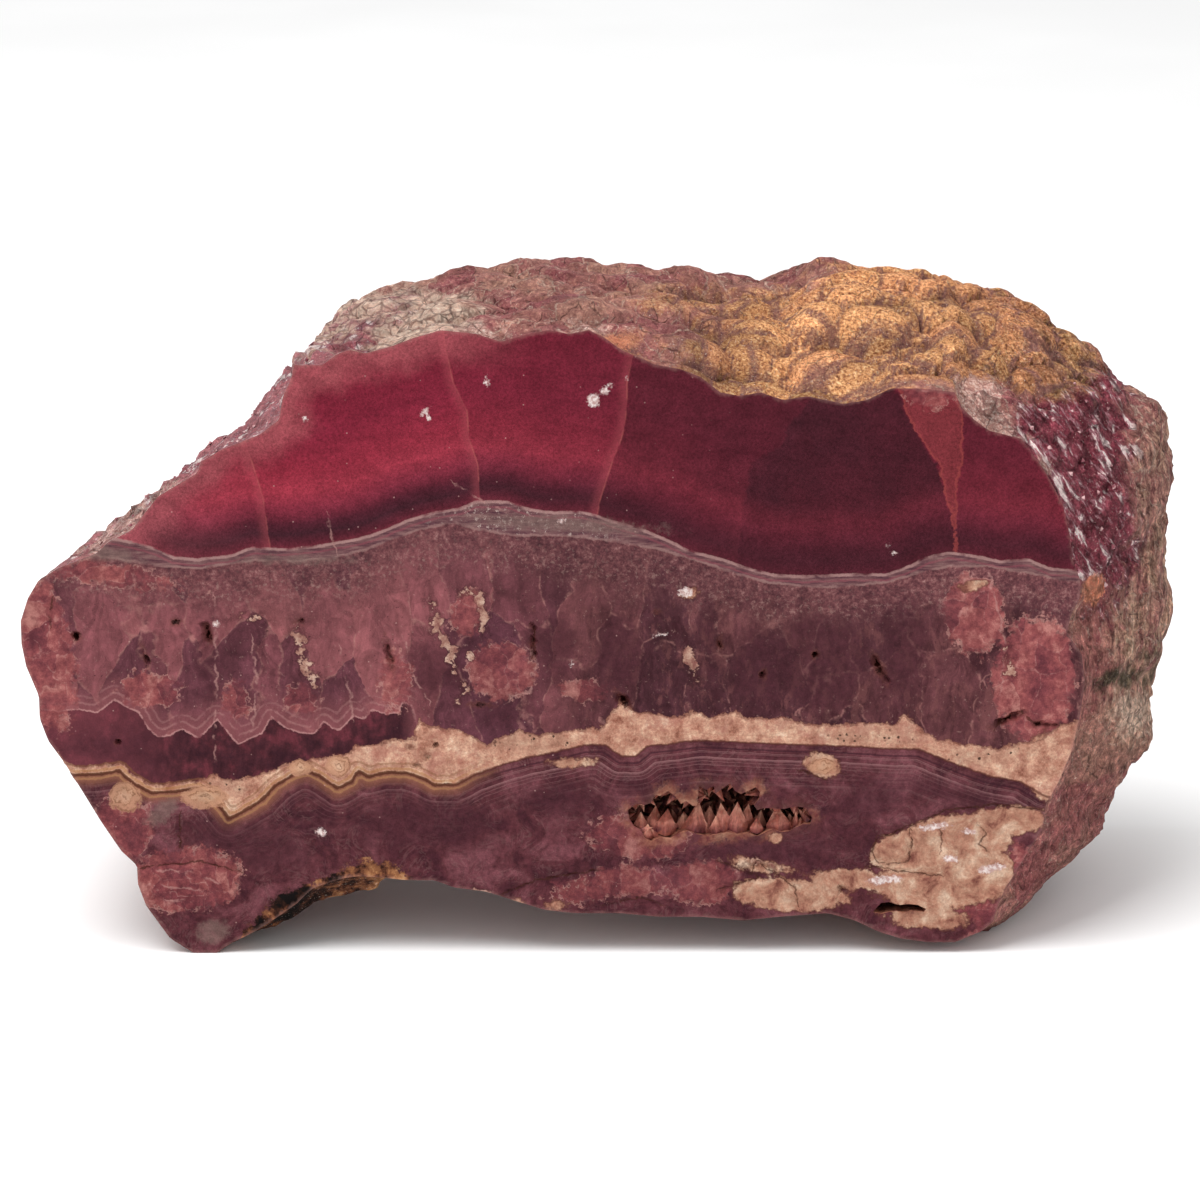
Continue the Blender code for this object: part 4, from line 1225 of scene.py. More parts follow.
def cell_zone(f, below, scallop, wear, wander):
    """Grainy mauve under the wavy line, then tall fans of purple crystal with pale walls."""
    tall = f.stretched(0.15, 0.15, 0.07, warp=0.5)
    cell = f.cells(1.0, place=tall)
    hue = f.own(cell)
    tone = f.ramp(hue[0], (0.0, "#56303a"), (0.4, "#6c3d44"), (0.7, "#7f494e"), (1.0, "#925759"))
    tone = f.over(tone, f.rise(wear[1], -14.0, -2.0), "#45272c", 0.74)
    away = f.parted(f.vector("SUBTRACT", tall, cell["Position"]))
    ray = f.math("ARCTAN2", away[0], f.math("SUBTRACT", away[2], 0.45))
    fan = f.point(f.times(ray, 5.0), f.times(hue[0], 60.0))
    tone = f.grained(tone, f.noise(1.0, 3, 0.6, place=fan), 0.22)
    walls = f.cells(1.0, "DISTANCE_TO_EDGE", place=tall)["Distance"]
    broken = f.rise(f.noise(0.5, 3, 0.7), 0.42, 0.6)
    tone = f.over(tone, f.fall(walls, 0.0, 0.03), "#9c6c67", f.times(broken, 0.6))
    tone = f.over(tone, f.rise(walls, 0.12, 0.5), "#4b2830", 0.3)
    fibres = f.noise(1.0, 4, 0.65, place=f.stretched(1.7, 1.7, 0.6, warp=0.4))
    tone = f.grained(tone, fibres, 0.12)
    tone = f.grained(tone, f.noise(0.32, 5, 0.7, warp=0.5), 0.34)
    mottle = f.noise(1.0, 5, 0.72, place=f.stretched(0.6, 0.6, 0.26, warp=0.7))
    at_right = f.rise(wear[1], -12.0, 4.0)
    tone = f.over(tone, f.rise(mottle, 0.5, 0.62), "#81504f", f.times(at_right, 0.42))
    tone = f.over(tone, f.fall(mottle, 0.36, 0.47), "#38191f", f.times(at_right, 0.5))
    patchy = f.own(f.cells(1.0, place=f.stretched(0.36, 0.36, 0.24, warp=1.6)))
    tone = f.grained(tone, patchy[1], 0.09)
    crumbs = f.noise(1.5, 5, 0.75)
    tone = f.over(tone, f.rise(crumbs, 0.58, 0.68), "#a8817a", 0.5)
    tone = f.over(tone, f.fall(crumbs, 0.33, 0.4), "#331a20", 0.75)
    high = f.times(f.line(f.add(below, -5.5, f.times(wander, 6.0)), 1.0, 2.5), f.rise(crumbs, 0.53, 0.6))
    tone = f.over(tone, high, "#bf9d92", 0.5)
    grainy = f.fall(f.add(below, f.times(wander, 10.0)), 5.5, 14.0)
    grains = f.ramp(f.noise(1.4, 6, 0.78), (0.3, "#3a2429"), (0.45, "#5b353a"), (0.56, "#76494b"),
                    (0.65, "#966b69"), (0.76, "#c2a39d"))
    grains = f.mix(f.rise(wear[1], 18.0, 48.0), grains, f.vector("SCALE", grains, scale=1.28))
    tone = f.over(tone, grainy, grains, 0.85)
    left = f.fall(wear[1], -27.0, -23.5)
    rosy = f.times(f.fall(scallop, 0.3, 4.5), left)
    tone = f.over(tone, rosy, "#95585b", 0.55)
    for offset, half_width, share in ((0.0, 0.1, 0.75), (-1.0, 0.05, 0.3), (-1.9, 0.04, 0.22)):
        edge = f.times(f.line(f.add(scallop, offset), half_width, 0.16), f.times(left, share))
        tone = f.over(tone, edge, "#b98784", f.rise(f.noise(0.7, 3), 0.34, 0.5))
    under = f.ramp(f.noise(0.4, 4, 0.65), (0.35, "#3b1e26"), (0.5, "#4b262d"), (0.65, "#68313a"))
    under = f.mix(f.fall(wear[1], -68.0, -52.0, 0.5), f.grained(under, fibres, 0.25), "#80414a")
    return f.over(tone, f.fall(scallop, -0.08, 0.04), under, left)


def face_colour(f):
    """The banded colours of a section through the stone."""
    bands, cream, near, across = (f.field(name) for name in ("bands", "cream", "near", "across"))
    threads, patches, stains = f.field("threads"), f.field("patches"), f.field("stains")
    shades, wear = f.field("shades"), f.field("wear")
    wander = f.noise(0.22, 3)
    ragged = f.centred(f.noise(0.9, 4, 0.65))
    fine = f.centred(f.noise(3.0, 3, 0.7))

    def shaken(value, coarse=1.2, small=0.5):
        return f.add(value, f.add(f.times(ragged, coarse), f.times(fine, small)))

    wavy = f.add(bands[0], f.times(ragged, 0.4))
    second = f.add(bands[1], f.times(ragged, 0.7))
    crimson = crimson_zone(f, wavy, bands, shades, near, across, wear, wander)
    scallop = shaken(cream[2], 0.5, 0.4)
    cells = cell_zone(f, f.times(second, -1.0), scallop, wear, wander)
    belt = f.ramp(f.noise(0.9, 4, 0.7, place=f.stretched(0.3, 0.3, 2.5)), (0.35, "#50303a"),
                  (0.5, "#6d484c"), (0.65, "#866462"))
    grainy = f.times(f.rise(f.noise(1.3, 5, 0.8), 0.55, 0.62), f.line(f.add(wear[1], 11.0), 6.0, 9.0))
    belt = f.over(belt, grainy, "#bfa8a0", 0.8)
    tone = f.mix(f.rise(second, -0.15, 0.15), cells, belt)
    tone = f.mix(f.rise(wavy, -0.06, 0.06), tone, crimson)
    pale = f.rise(f.noise(0.4, 3), 0.3, 0.55)
    tone = f.over(tone, f.line(wavy, 0.1, 0.18), "#a8827e", f.times(pale, 0.85))
    tone = f.over(tone, f.line(second, 0.06, 0.2), "#9a7672", f.times(pale, 0.7))
    tone = f.over(tone, f.line(f.add(wavy, 0.7), 0.05, 0.16), "#8d4b55", 0.5)

    top = shaken(cream[0], 1.8, 0.3)
    foot = f.add(cream[1], f.times(ragged, 0.6))
    left = f.fall(wear[1], -22.0, -12.0)
    lower = lower_zone(f, f.times(foot, -1.0), left, wander, ragged)
    tone = f.mix(f.fall(foot, -0.05, 0.05), tone, lower)
    tone = patched(f, tone, shaken, patches, stains, threads)

    inside_band = f.math("MINIMUM", f.times(top, -1.0), foot)
    creamy = f.ramp(f.noise(0.55, 6, 0.72), (0.3, "#824f40"), (0.4, "#ab7663"), (0.5, "#c3917b"),
                    (0.6, "#d8ac92"), (0.72, "#f0d2b8"))
    creamy = f.grained(creamy, f.noise(3.2, 3, 0.8), 0.22)
    blush = f.rise(f.noise(0.28, 4, 0.7), 0.5, 0.6)
    creamy = f.over(creamy, blush, "#a5685e", 0.45)
    layers = f.point(z=f.add(f.times(foot, 1.5), f.times(ragged, 0.5)))
    laminae = f.noise(1.0, 3, 0.75, place=layers)
    creamy = f.over(creamy, f.fall(laminae, 0.36, 0.44), "#8a5a45", f.between(left, 0.4, 0.6))
    grit = f.fall(f.add(f.cells(1.15)["Distance"], f.times(fine, 0.5)), 0.16, 0.26)
    gritty = f.rise(shaken(wear[2], 3.0, 1.0), -0.6, 0.6)
    creamy = f.over(creamy, gritty, f.grained("#ac8470", f.noise(1.8, 4, 0.8), 0.5), 0.4)
    creamy = f.over(creamy, grit, "#2d1f18", f.times(gritty, 0.9))
    tone = f.mix(f.rise(inside_band, -0.04, 0.06), tone, creamy)
    tone = over_band(f, tone, top, foot, left)
    tone = ringed(f, tone, shades[2], ragged)
    return over_marks(f, tone, near, across, threads, stains, wear, bands, shaken)


def over_band(f, tone, top, foot, left):
    """The cream band's borders: an ochre line and its echoes at the foot, rust along the top."""
    for offset, half_width, share, colour in ((-0.05, 0.14, 0.9, "#5b371f"), (-0.55, 0.1, 0.55, "#a77648"),
                                              (-1.25, 0.07, 0.5, "#7d5336"), (0.5, 0.08, 0.5, "#b08058")):
        stripe = f.times(f.line(f.add(foot, offset), half_width, 0.16), f.times(left, share))
        tone = f.mix(stripe, tone, colour)
    thin = f.times(f.line(foot, 0.06, 0.14), 0.75)
    tone = f.mix(thin, tone, "#5a3029")
    return f.over(tone, f.line(f.add(top, 0.1), 0.07, 0.2), "#6b3e36", 0.6)


def lower_zone(f, below, left, wander, ragged):
    """Purple under the cream band, with agate lines that follow the band's foot."""
    tone = f.ramp(f.noise(0.2, 4, 0.6, warp=0.8), (0.36, "#48242c"), (0.5, "#5a2f35"), (0.64, "#74434a"))
    tone = f.grained(tone, f.noise(1.3, 5, 0.75), 0.4)
    swirl = f.noise(0.2, 4, 0.55, warp=1.8)
    arcs = f.rise(f.math("SINE", f.times(swirl, 60.0)), 0.2, 0.95)
    tone = f.over(tone, arcs, "#a07a78", f.times(f.rise(f.noise(0.35, 3, 0.6), 0.42, 0.6), 0.14))
    layers = f.point(z=f.add(f.times(below, 1.5), f.times(ragged, 0.5)))
    agate = f.noise(1.0, 3, 0.75, place=layers)
    fade = f.times(f.fall(f.add(below, f.times(wander, 6.0)), 5.0, 10.0), f.between(left, 1.0, 0.45))
    tone = f.over(tone, f.rise(agate, 0.5, 0.58), "#93686a", f.times(fade, 0.75))
    tone = f.over(tone, f.fall(agate, 0.38, 0.46), "#3f2029", f.times(fade, 0.85))
    return f.over(tone, f.fall(below, 0.3, 2.0), "#94604c", f.times(left, 0.8))


def patched(f, tone, shaken, patches, stains, threads):
    """Patches of pink, cream, dark and grey crystal, with ragged edges."""
    crumbly = f.noise(1.2, 5, 0.75)
    dark = f.rise(shaken(patches[2], 4.0, 1.2), -0.9, 1.6)
    tone = f.over(tone, dark, f.grained("#4a262e", crumbly, 0.4), 0.65)
    grain = f.stretched(0.28, 0.28, 0.2, warp=1.2)
    shard = f.own(f.cells(1.0, place=grain))
    rosy = f.ramp(f.add(f.times(shard[0], 0.22), f.noise(0.3, 6, 0.7)), (0.42, "#633138"),
                  (0.56, "#804145"), (0.68, "#985251"), (0.82, "#b97c74"))
    seams = f.fall(f.cells(1.0, "DISTANCE_TO_EDGE", place=grain)["Distance"], 0.0, 0.03)
    rosy = f.over(rosy, seams, "#b0807a", f.times(f.rise(crumbly, 0.42, 0.6), 0.5))
    rosy = f.grained(rosy, crumbly, 0.26)
    at_right = f.rise(f.field("wear")[1], 38.0, 52.0)
    rosy = f.vector("SCALE", rosy, scale=f.between(at_right, 1.0, 1.3))
    blush = shaken(patches[0], 4.0, 0.15)
    tone = f.over(tone, f.rise(blush, -0.4, 0.5), rosy, f.spread(threads[2], 10.0, 60.0, 0.6, 0.78))
    outline = f.times(f.line(blush, 0.05, 0.16), f.rise(f.noise(0.6, 3), 0.45, 0.6))
    tone = f.over(tone, outline, "#bd8d84", 0.5)
    rim = f.rise(f.noise(0.25, 3, 0.6), 0.46, 0.56)
    fringe = f.times(f.fall(shaken(threads[2], 3.4, 1.6), 0.2, 1.8), f.between(rim, 0.12, 0.75))
    tone = f.mix(fringe, tone,
                 f.ramp(f.noise(0.9, 5), (0.35, "#6b3634"), (0.5, "#96604e"), (0.66, "#c08e74")))
    peach = f.ramp(f.noise(0.36, 6, 0.66, warp=0.4), (0.34, "#7e4d43"), (0.42, "#a3705e"), (0.5, "#b68670"),
                   (0.58, "#c69d85"), (0.7, "#e3c5ad"))
    peach = f.grained(peach, f.noise(2.6, 3, 0.8), 0.18)
    edge = shaken(patches[1], 2.0, 0.3)
    tone = f.mix(f.rise(edge, -0.08, 0.1), tone, peach)
    tone = f.over(tone, f.line(edge, 0.06, 0.2), "#5f3630", 0.6)
    grey = f.rise(shaken(stains[0], 2.0, 1.0), -0.4, 0.6)
    return f.over(tone, grey, f.grained("#7d655f", crumbly, 0.4), 0.6)


def ringed(f, tone, eye, ragged):
    """Small eyes of thin ochre rings."""
    wobble = f.add(eye, f.times(ragged, 1.1))
    within = f.fall(wobble, 0.85, 1.0)
    tone = f.over(tone, within, f.ramp(wobble, (0.0, "#dcb598"), (0.5, "#c49476"), (1.0, "#c08c72")), 0.8)
    ring = f.line(f.add(f.math("FRACT", f.times(wobble, 3.0)), -0.5), 0.06, 0.2)
    broken = f.rise(f.noise(0.8, 3), 0.4, 0.6)
    return f.over(tone, f.times(within, ring), "#6e4630", f.times(broken, 0.6))


def over_marks(f, tone, near, across, threads, stains, wear, bands, shaken):
    """Veins, cracks, scuffs, pits and dust that lie over every band."""
    width = f.spread(f.noise(0.34, 3), 0.35, 0.65, -0.4, 0.8)
    strand = shaken(near[0], 3.0, 0.8)
    tone = f.mix(f.fall(strand, f.add(width, 0.2), f.add(width, 0.8), 0.45), tone, "#35191c")
    tone = f.mix(f.fall(strand, width, f.add(width, 0.2), 0.88), tone,
                 f.ramp(f.noise(0.8, 5, 0.7), (0.36, "#8a5851"), (0.5, "#b58a79"), (0.64, "#d9b7a4")))
    bent = f.add(threads[1], f.times(f.centred(f.noise(0.7, 3)), 1.6))
    thread = f.times(f.line(bent, 0.03, 0.2), f.fall(threads[0], 0.7, 1.0))
    thread = f.times(thread, f.rise(f.noise(0.6, 3), 0.42, 0.58))
    tone = f.over(tone, thread, "#b98a84", 0.5)
    ochre = shaken(stains[1], 3.4, 1.6)
    tone = f.mix(f.rise(ochre, -0.3, 0.4), tone, rusty_crust(f, wear[1]))
    bent = f.add(across[1], f.times(f.centred(f.noise(0.9, 3)), 1.2))
    crack = f.times(f.line(bent, 0.02, 0.16), f.fall(near[1], 0.6, 0.9))
    crack = f.times(crack, f.rise(f.noise(0.8, 3), 0.34, 0.5))
    tone = f.over(tone, crack, "#4a2a22", 0.75)
    pit = f.add(shaken(wear[0], 1.6, 0.6), -0.12)
    tone = f.over(tone, f.rise(pit, -0.5, 0.1), "#6e4038", 0.5)
    tone = f.mix(f.rise(pit, -0.05, 0.2), tone, "#2a1614")
    dust = f.cells(0.85)
    specks = f.times(f.fall(dust["Distance"], 0.04, 0.12), f.rise(f.own(dust)[0], 0.78, 0.86))
    specks = f.times(specks, f.fall(wear[1], -5.0, 25.0, 0.45))
    tone = f.mix(specks, tone, "#d3a9a1")
    scuffs = f.rise(shaken(stains[2], 1.1, 0.9), -0.05, 0.25)
    chalk = f.mix(f.rise(f.noise(2.0, 3), 0.42, 0.6), "#c9a7a2", "#f2e3df")
    tone = f.over(tone, scuffs, chalk, 0.9)
    bruise = f.times(f.fall(f.add(bands[2], f.times(f.noise(1.1, 4), 1.2)), 0.5, 1.1), 0.22)
    tone = f.mix(bruise, tone, "#b98c84")
    tone = f.grained(tone, f.noise(5.0, 3, 0.85), 0.16)
    tone = f.grained(tone, f.noise(0.5, 4, 0.6), 0.12)
    # Painted shade: the whole face is darkened, as the light from above falls less on it than on the crown; part of
    # this offsets the pale light of its gloss.
    tone = f.vector("SCALE", tone, scale=FACE_SHADE_AND_POLISH)
    return f.vector("SUBTRACT", tone, (FACE_GLOSS, FACE_GLOSS, FACE_GLOSS))


def rusty_crust(f, across):
    """The weathered crust along the arch: ochre to its right, near black towards the foot."""
    shade = f.add(f.noise(0.3, 5, 0.66), f.between(f.rise(across, -38.0, -30.0), -0.04, 0.05))
    return f.ramp(shade, (0.37, "#15100e"), (0.45, "#38211a"), (0.5, "#6d4230"), (0.57, "#9c6846"),
                  (0.7, "#d3a578"))


def polished_face(least_roughness):
    """The cut face: banded, ground smooth, with a soft polish that cream lacks."""
    f = Finish("polished_face")
    colour = face_colour(f)
    patches = f.field("patches")
    dull = f.times(f.rise(patches[1], 0.0, 0.5), 0.22)
    rough = f.add(f.times(f.noise(1.6, 3), 0.2), least_roughness, dull)
    height = f.add(f.times(f.noise(4.0, 3, 0.7), 0.5), f.times(f.noise(0.8, 3), 0.5))
    return f.finish(colour, rough, height, 0.05)


def sawn_back():
    """The back: the same bands, left matte by the saw, with its shallow arcs."""
    f = Finish("sawn_back")
    colour = f.mix(0.18, face_colour(f), "#a58b84")
    arcs = f.node("ShaderNodeTexWave", wave_type="RINGS", rings_direction="Y")
    f.put(arcs.inputs["Vector"], f.vector("ADD", f.place, (90.0, 0.0, 60.0)))
    arcs.inputs["Scale"].default_value = 0.35
    arcs.inputs["Distortion"].default_value = 1.2
    colour = f.over(colour, arcs.outputs["Fac"], "#c7b2aa", 0.1)
    height = f.add(f.times(arcs.outputs["Fac"], 0.5), f.noise(3.0, 3))
    return f.finish(colour, f.add(f.times(f.noise(1.2), 0.2), 0.6), height, 0.08)


def weathered_rind():
    """The skin: golden scales, cream crust, bright cleavage and tan ribs over mauve stone, with painted light and
    shade on the scales, painted shade in their grooves and painted glints on the cleavage and all over.
    """
    f = Finish("weathered_rind")
    minerals, weather, tints = f.field("minerals"), f.field("weather"), f.field("tints")
    stains, cream, scales = f.field("stains"), f.field("cream"), f.field("scales")
    wear = f.field("wear")
    fibre = f.noise(1.2, 6, 0.8, warp=0.8)
    coarse = f.centred(f.noise(0.3, 4, 0.65))
    crumbly = f.noise(2.2, 5, 0.8)
    # The grooves between scales and lumps, which take a painted shade further down.
    groove = f.fall(f.add(scales[0], f.times(f.centred(crumbly), 0.2)), 0.0, 0.1)
    facets = f.own(f.cells(0.5))

    def inside(reach, shake=9.0, soft=1.4):
        return f.rise(f.add(reach, f.times(coarse, shake)), -soft, soft)

    mauve = f.ramp(fibre, (0.3, "#5e373a"), (0.43, "#925c57"), (0.55, "#b0786c"), (0.68, "#d5a794"),
                   (0.78, "#f3dac9"))
    rosy = f.ramp(fibre, (0.32, "#68343b"), (0.46, "#975458"), (0.6, "#b97672"), (0.75, "#dfb1aa"))
    tone = f.mix(f.rise(f.noise(0.12, 3), 0.44, 0.58), mauve, rosy)
    speckle = f.times(f.rise(crumbly, 0.55, 0.66), 0.6)
    tone = f.mix(speckle, tone, "#cfa183")

    ribs = f.noise(1.0, 5, 0.7, place=f.stretched(1.5, 0.9, 0.16, warp=0.8))
    ribs = f.add(f.times(ribs, 0.6), f.times(fibre, 0.4))
    tan = f.ramp(ribs, (0.4, "#3a2422"), (0.46, "#8a5d50"), (0.51, "#bd9079"), (0.57, "#dcb599"),
                 (0.64, "#f6dec4"))
    tan = f.over(tan, f.rise(f.noise(0.16, 3), 0.47, 0.58), rosy, 0.5)
    tone = f.mix(inside(weather[1]), tone, tan)
    broad = f.stretched(0.2, 0.14, 0.14, warp=1.0)
    block = f.own(f.cells(1.0, place=broad))
    blocky = f.ramp(block[0], (0.0, "#63333c"), (0.3, "#8a5254"), (0.55, "#a8766a"), (0.75, "#c4a088"),
                    (1.0, "#744248"))
    tone = f.mix(0.3, tone, f.grained(blocky, fibre, 0.6))
    joints = f.cells(1.0, "DISTANCE_TO_EDGE", place=broad)["Distance"]
    joint = f.times(f.fall(f.add(joints, f.times(coarse, 0.1)), 0.0, 0.03), 0.55)
    tone = f.mix(joint, tone, f.ramp(crumbly, (0.4, "#4a2a2c"), (0.55, "#dcc0ad")))
    tone = f.over(tone, inside(weather[2]), f.ramp(ribs, (0.38, "#632c34"), (0.62, "#b06c66")), 0.7)

    crust = f.ramp(fibre, (0.3, "#9a7464"), (0.42, "#cba693"), (0.54, "#e0c4b1"), (0.66, "#f0dbc9"),
                   (0.78, "#fbf2e6"))
    veins = f.cells(0.42, "DISTANCE_TO_EDGE", place=f.stretched(1.0, 1.0, 1.6, warp=1.4))["Distance"]
    crust = f.over(crust, f.fall(veins, 0.02, 0.1), "#6b4a45", 0.6)
    tone = f.mix(inside(minerals[1]), tone, crust)

    left = f.fall(wear[1], -40.0, -25.0)
    # Pale flecks on broken crystal: partly its own pale cleavage, partly painted glints off the cleavage faces.
    flecks_and_glints = f.noise(0.42, 4, 0.66, place=f.slanted(FLECK_SLANT, 0.6, 1.0, 2.4), warp=0.4)
    streaks = f.noise(0.4, 4, 0.68, place=f.slanted(-SLOPE_SLANT, 0.5, 1.0, 2.4), warp=0.3)
    flecks_and_glints = f.mix(left, flecks_and_glints, f.add(streaks, 0.02))
    deep = f.ramp(crumbly, (0.33, "#501d29"), (0.48, "#77323e"), (0.62, "#954c56"), (0.76, "#b07076"))
    deep = f.grained(deep, facets[0], 0.22)
    deep = f.over(deep, left, f.grained("#b9787c", crumbly, 0.5), 0.7)
    # The brightest flecks are painted glints laid over the crystal's own tone.
    broken = f.mix(f.rise(flecks_and_glints, 0.52, 0.57), deep, "#9c6a72")
    broken = f.mix(f.rise(flecks_and_glints, 0.585, 0.62), broken, "#e4cdca")
    tone = f.mix(inside(minerals[2]), tone, broken)

    pitted = f.noise(2.3, 5, 0.75, place=f.slanted(0.3, 1.0, 1.0, 1.3), warp=0.3)
    gold = f.ramp(pitted, (0.34, "#5f3a28"), (0.42, "#9a6345"), (0.49, "#c1875a"), (0.57, "#dba573"),
                  (0.66, "#f3cf9d"))
    # Painted light and shade on the golden scales: each is drawn brighter at its front and darker behind, where it
    # passes under the scale before it.
    front = f.spread(scales[1], -0.45, 0.45, 1.3, 0.6)
    bright = f.times(f.rise(wear[1], 10.0, 26.0), f.fall(wear[1], 34.0, 58.0))
    front = f.times(front, f.between(bright, 0.62, 1.16))
    gold = f.vector("SCALE", gold, scale=f.times(front, f.spread(scales[2], -1.0, 1.0, 0.85, 1.2)))
    gold = f.over(gold, f.rise(scales[2], 0.0, 0.6), f.grained("#a0604a", pitted, 0.8), 0.35)
    gold = f.mix(f.fall(wear[1], -6.0, 20.0, 0.5), gold, tone)
    # Painted shade in the grooves between scales and lumps: a dark mauve line, part stone colour and part shade in the
    # crease.
    gold = f.over(gold, groove, f.grained("#6f4a4d", crumbly, 0.5), 0.8)
    golden = inside(minerals[0], 6.0, 1.2)
    tone = f.mix(golden, tone, gold)

    pale = f.ramp(crumbly, (0.34, "#875651"), (0.5, "#b58a7f"), (0.66, "#e6d3c8"))
    pale = f.grained(pale, facets[1], 0.3)
    crags = f.fall(f.cells(0.5, "DISTANCE_TO_EDGE")["Distance"], 0.0, 0.06)
    pale = f.over(pale, crags, "#6b3d42", 0.6)
    tone = f.over(tone, inside(tints[0], 8.0, 0.6), pale, 0.85)
    mossy = f.ramp(fibre, (0.35, "#171610"), (0.5, "#3f3a2b"), (0.66, "#7b6a50"))
    tone = f.over(tone, inside(weather[0], 6.0, 0.8), mossy, 0.9)
    orange = f.ramp(crumbly, (0.35, "#a85c48"), (0.65, "#d8916f"))
    spot = f.add(tints[1], f.times(f.centred(crumbly), 2.4))
    tone = f.over(tone, inside(spot, 4.0, 0.4), orange, 0.9)

    layer = f.math("MINIMUM", f.times(cream[0], -1.0), cream[1])
    layered = f.times(f.rise(f.add(layer, f.times(coarse, 6.0)), 0.4, 1.8), f.fall(minerals[0], -4.0, 0.0))
    tone = f.over(tone, layered, f.grained("#c09a80", fibre, 0.5), 0.25)
    ochre = f.rise(f.add(stains[1], f.times(coarse, 3.0)), -0.4, 0.6)
    tone = f.mix(ochre, tone, rusty_crust(f, wear[1]))
    # Painted glints: tiny near-white specks strewn over the whole skin, for the glitter of its small crystals.
    tone = f.over(tone, f.rise(f.noise(3.5, 2, 0.8), 0.64, 0.7), "#f3e2d3", 0.5)
    cracks = f.cells(0.3, "DISTANCE_TO_EDGE", place=f.stretched(1.0, 0.7, 0.6, warp=2.6))["Distance"]
    seam = f.times(f.fall(cracks, 0.008, 0.03), f.rise(coarse, -0.04, 0.1))
    tone = f.over(tone, seam, "#38211f", 0.55)
    ridges = f.noise(0.75, 4, 0.72, place=f.slanted(RIDGE_SLANT, 1.7, 1.0, 0.7), warp=0.5)
    tone = f.mix(f.rise(wear[1], 44.0, 54.0), tone, f.grained(tone, ridges, 0.6))
    height = f.add(fibre, f.times(crumbly, 0.8), f.times(seam, -0.6))
    height = f.add(height, f.times(ridges, f.between(f.rise(wear[1], 44.0, 54.0), 0.0, 1.6)))
    height = f.mix(golden, height, f.times(pitted, 0.75))
    glassy = f.times(inside(minerals[2]), 0.25)
    tone = f.mix(golden, f.grained(tone, f.noise(0.5, 4, 0.7), 0.42), tone)
    tone = f.vector("SCALE", tone, scale=RIND_STRENGTH)
    return f.finish(tone, f.math("SUBTRACT", 0.75, glassy), height, 1.0)


def hollow_wall():
    """The wall of the hollow and the slit: crystalline and rusty, lighter at the rim and dark deeper in, which is
    painted shade.
    """
    f = Finish("hollow_wall")
    # Painted shade: the wall goes from its rim colour to dark brown over the first 2.5 mm inwards.
    painted_shade_inward = f.rise(f.parted(f.place)[1], FACE_Y, FACE_Y + 2.5)
    rim = f.ramp(f.noise(1.2, 4), (0.35, "#6e3833"), (0.6, "#a8705a"))
    tone = f.mix(painted_shade_inward, rim, f.ramp(f.noise(1.4, 4), (0.35, "#2c1512"), (0.65, "#6b4032")))
    return f.finish(tone, 0.5, f.noise(2.0, 4, 0.7), 0.4)


def hollow_crystal():
    """A small pointed crystal: wine red at its foot, warm peach and clearer at its tip."""
    f = Finish("hollow_crystal")
    tip = f.node("ShaderNodeAttribute", attribute_name="tip")
    grown = f.add(tip.outputs["Fac"], f.times(f.centred(f.noise(0.9, 3)), 0.6))
    tone = f.ramp(grown, (0.0, "#54272d"), (0.3, "#7d453f"), (0.6, "#a4685a"), (1.0, "#c38f79"))
    tone = f.grained(tone, f.noise(1.6, 4, 0.7, place=f.stretched(1.6, 1.6, 0.5)), 0.45)
    tone = f.mix(f.rise(f.noise(0.5, 2), 0.45, 0.6), tone, f.grained("#7d4338", f.noise(2.0), 0.4))
    made = f.finish(tone, f.add(f.times(f.noise(2.0), 0.2), 0.35), f.noise(4.0, 3), 0.08, 0.15)
    f.shader.inputs["Subsurface Weight"].default_value = 0.15
    f.shader.inputs["Subsurface Radius"].default_value = (0.0015, 0.0007, 0.0005)
    return made


def bright_grain():
    """A glassy cleavage grain on the broken parts of the skin."""
    f = Finish("bright_grain")
    tone = f.mix(f.rise(f.noise(0.8, 2), 0.42, 0.66), "#7a3d47", "#c9a3a2")
    return f.finish(tone, f.add(f.times(f.noise(2.0), 0.15), 0.25), f.noise(6.0, 2), 0.02, 0.2)


def as_piece(mesh, name):
    made = bpy.data.objects.new(name, mesh)
    bpy.context.scene.collection.objects.link(made)
    return made


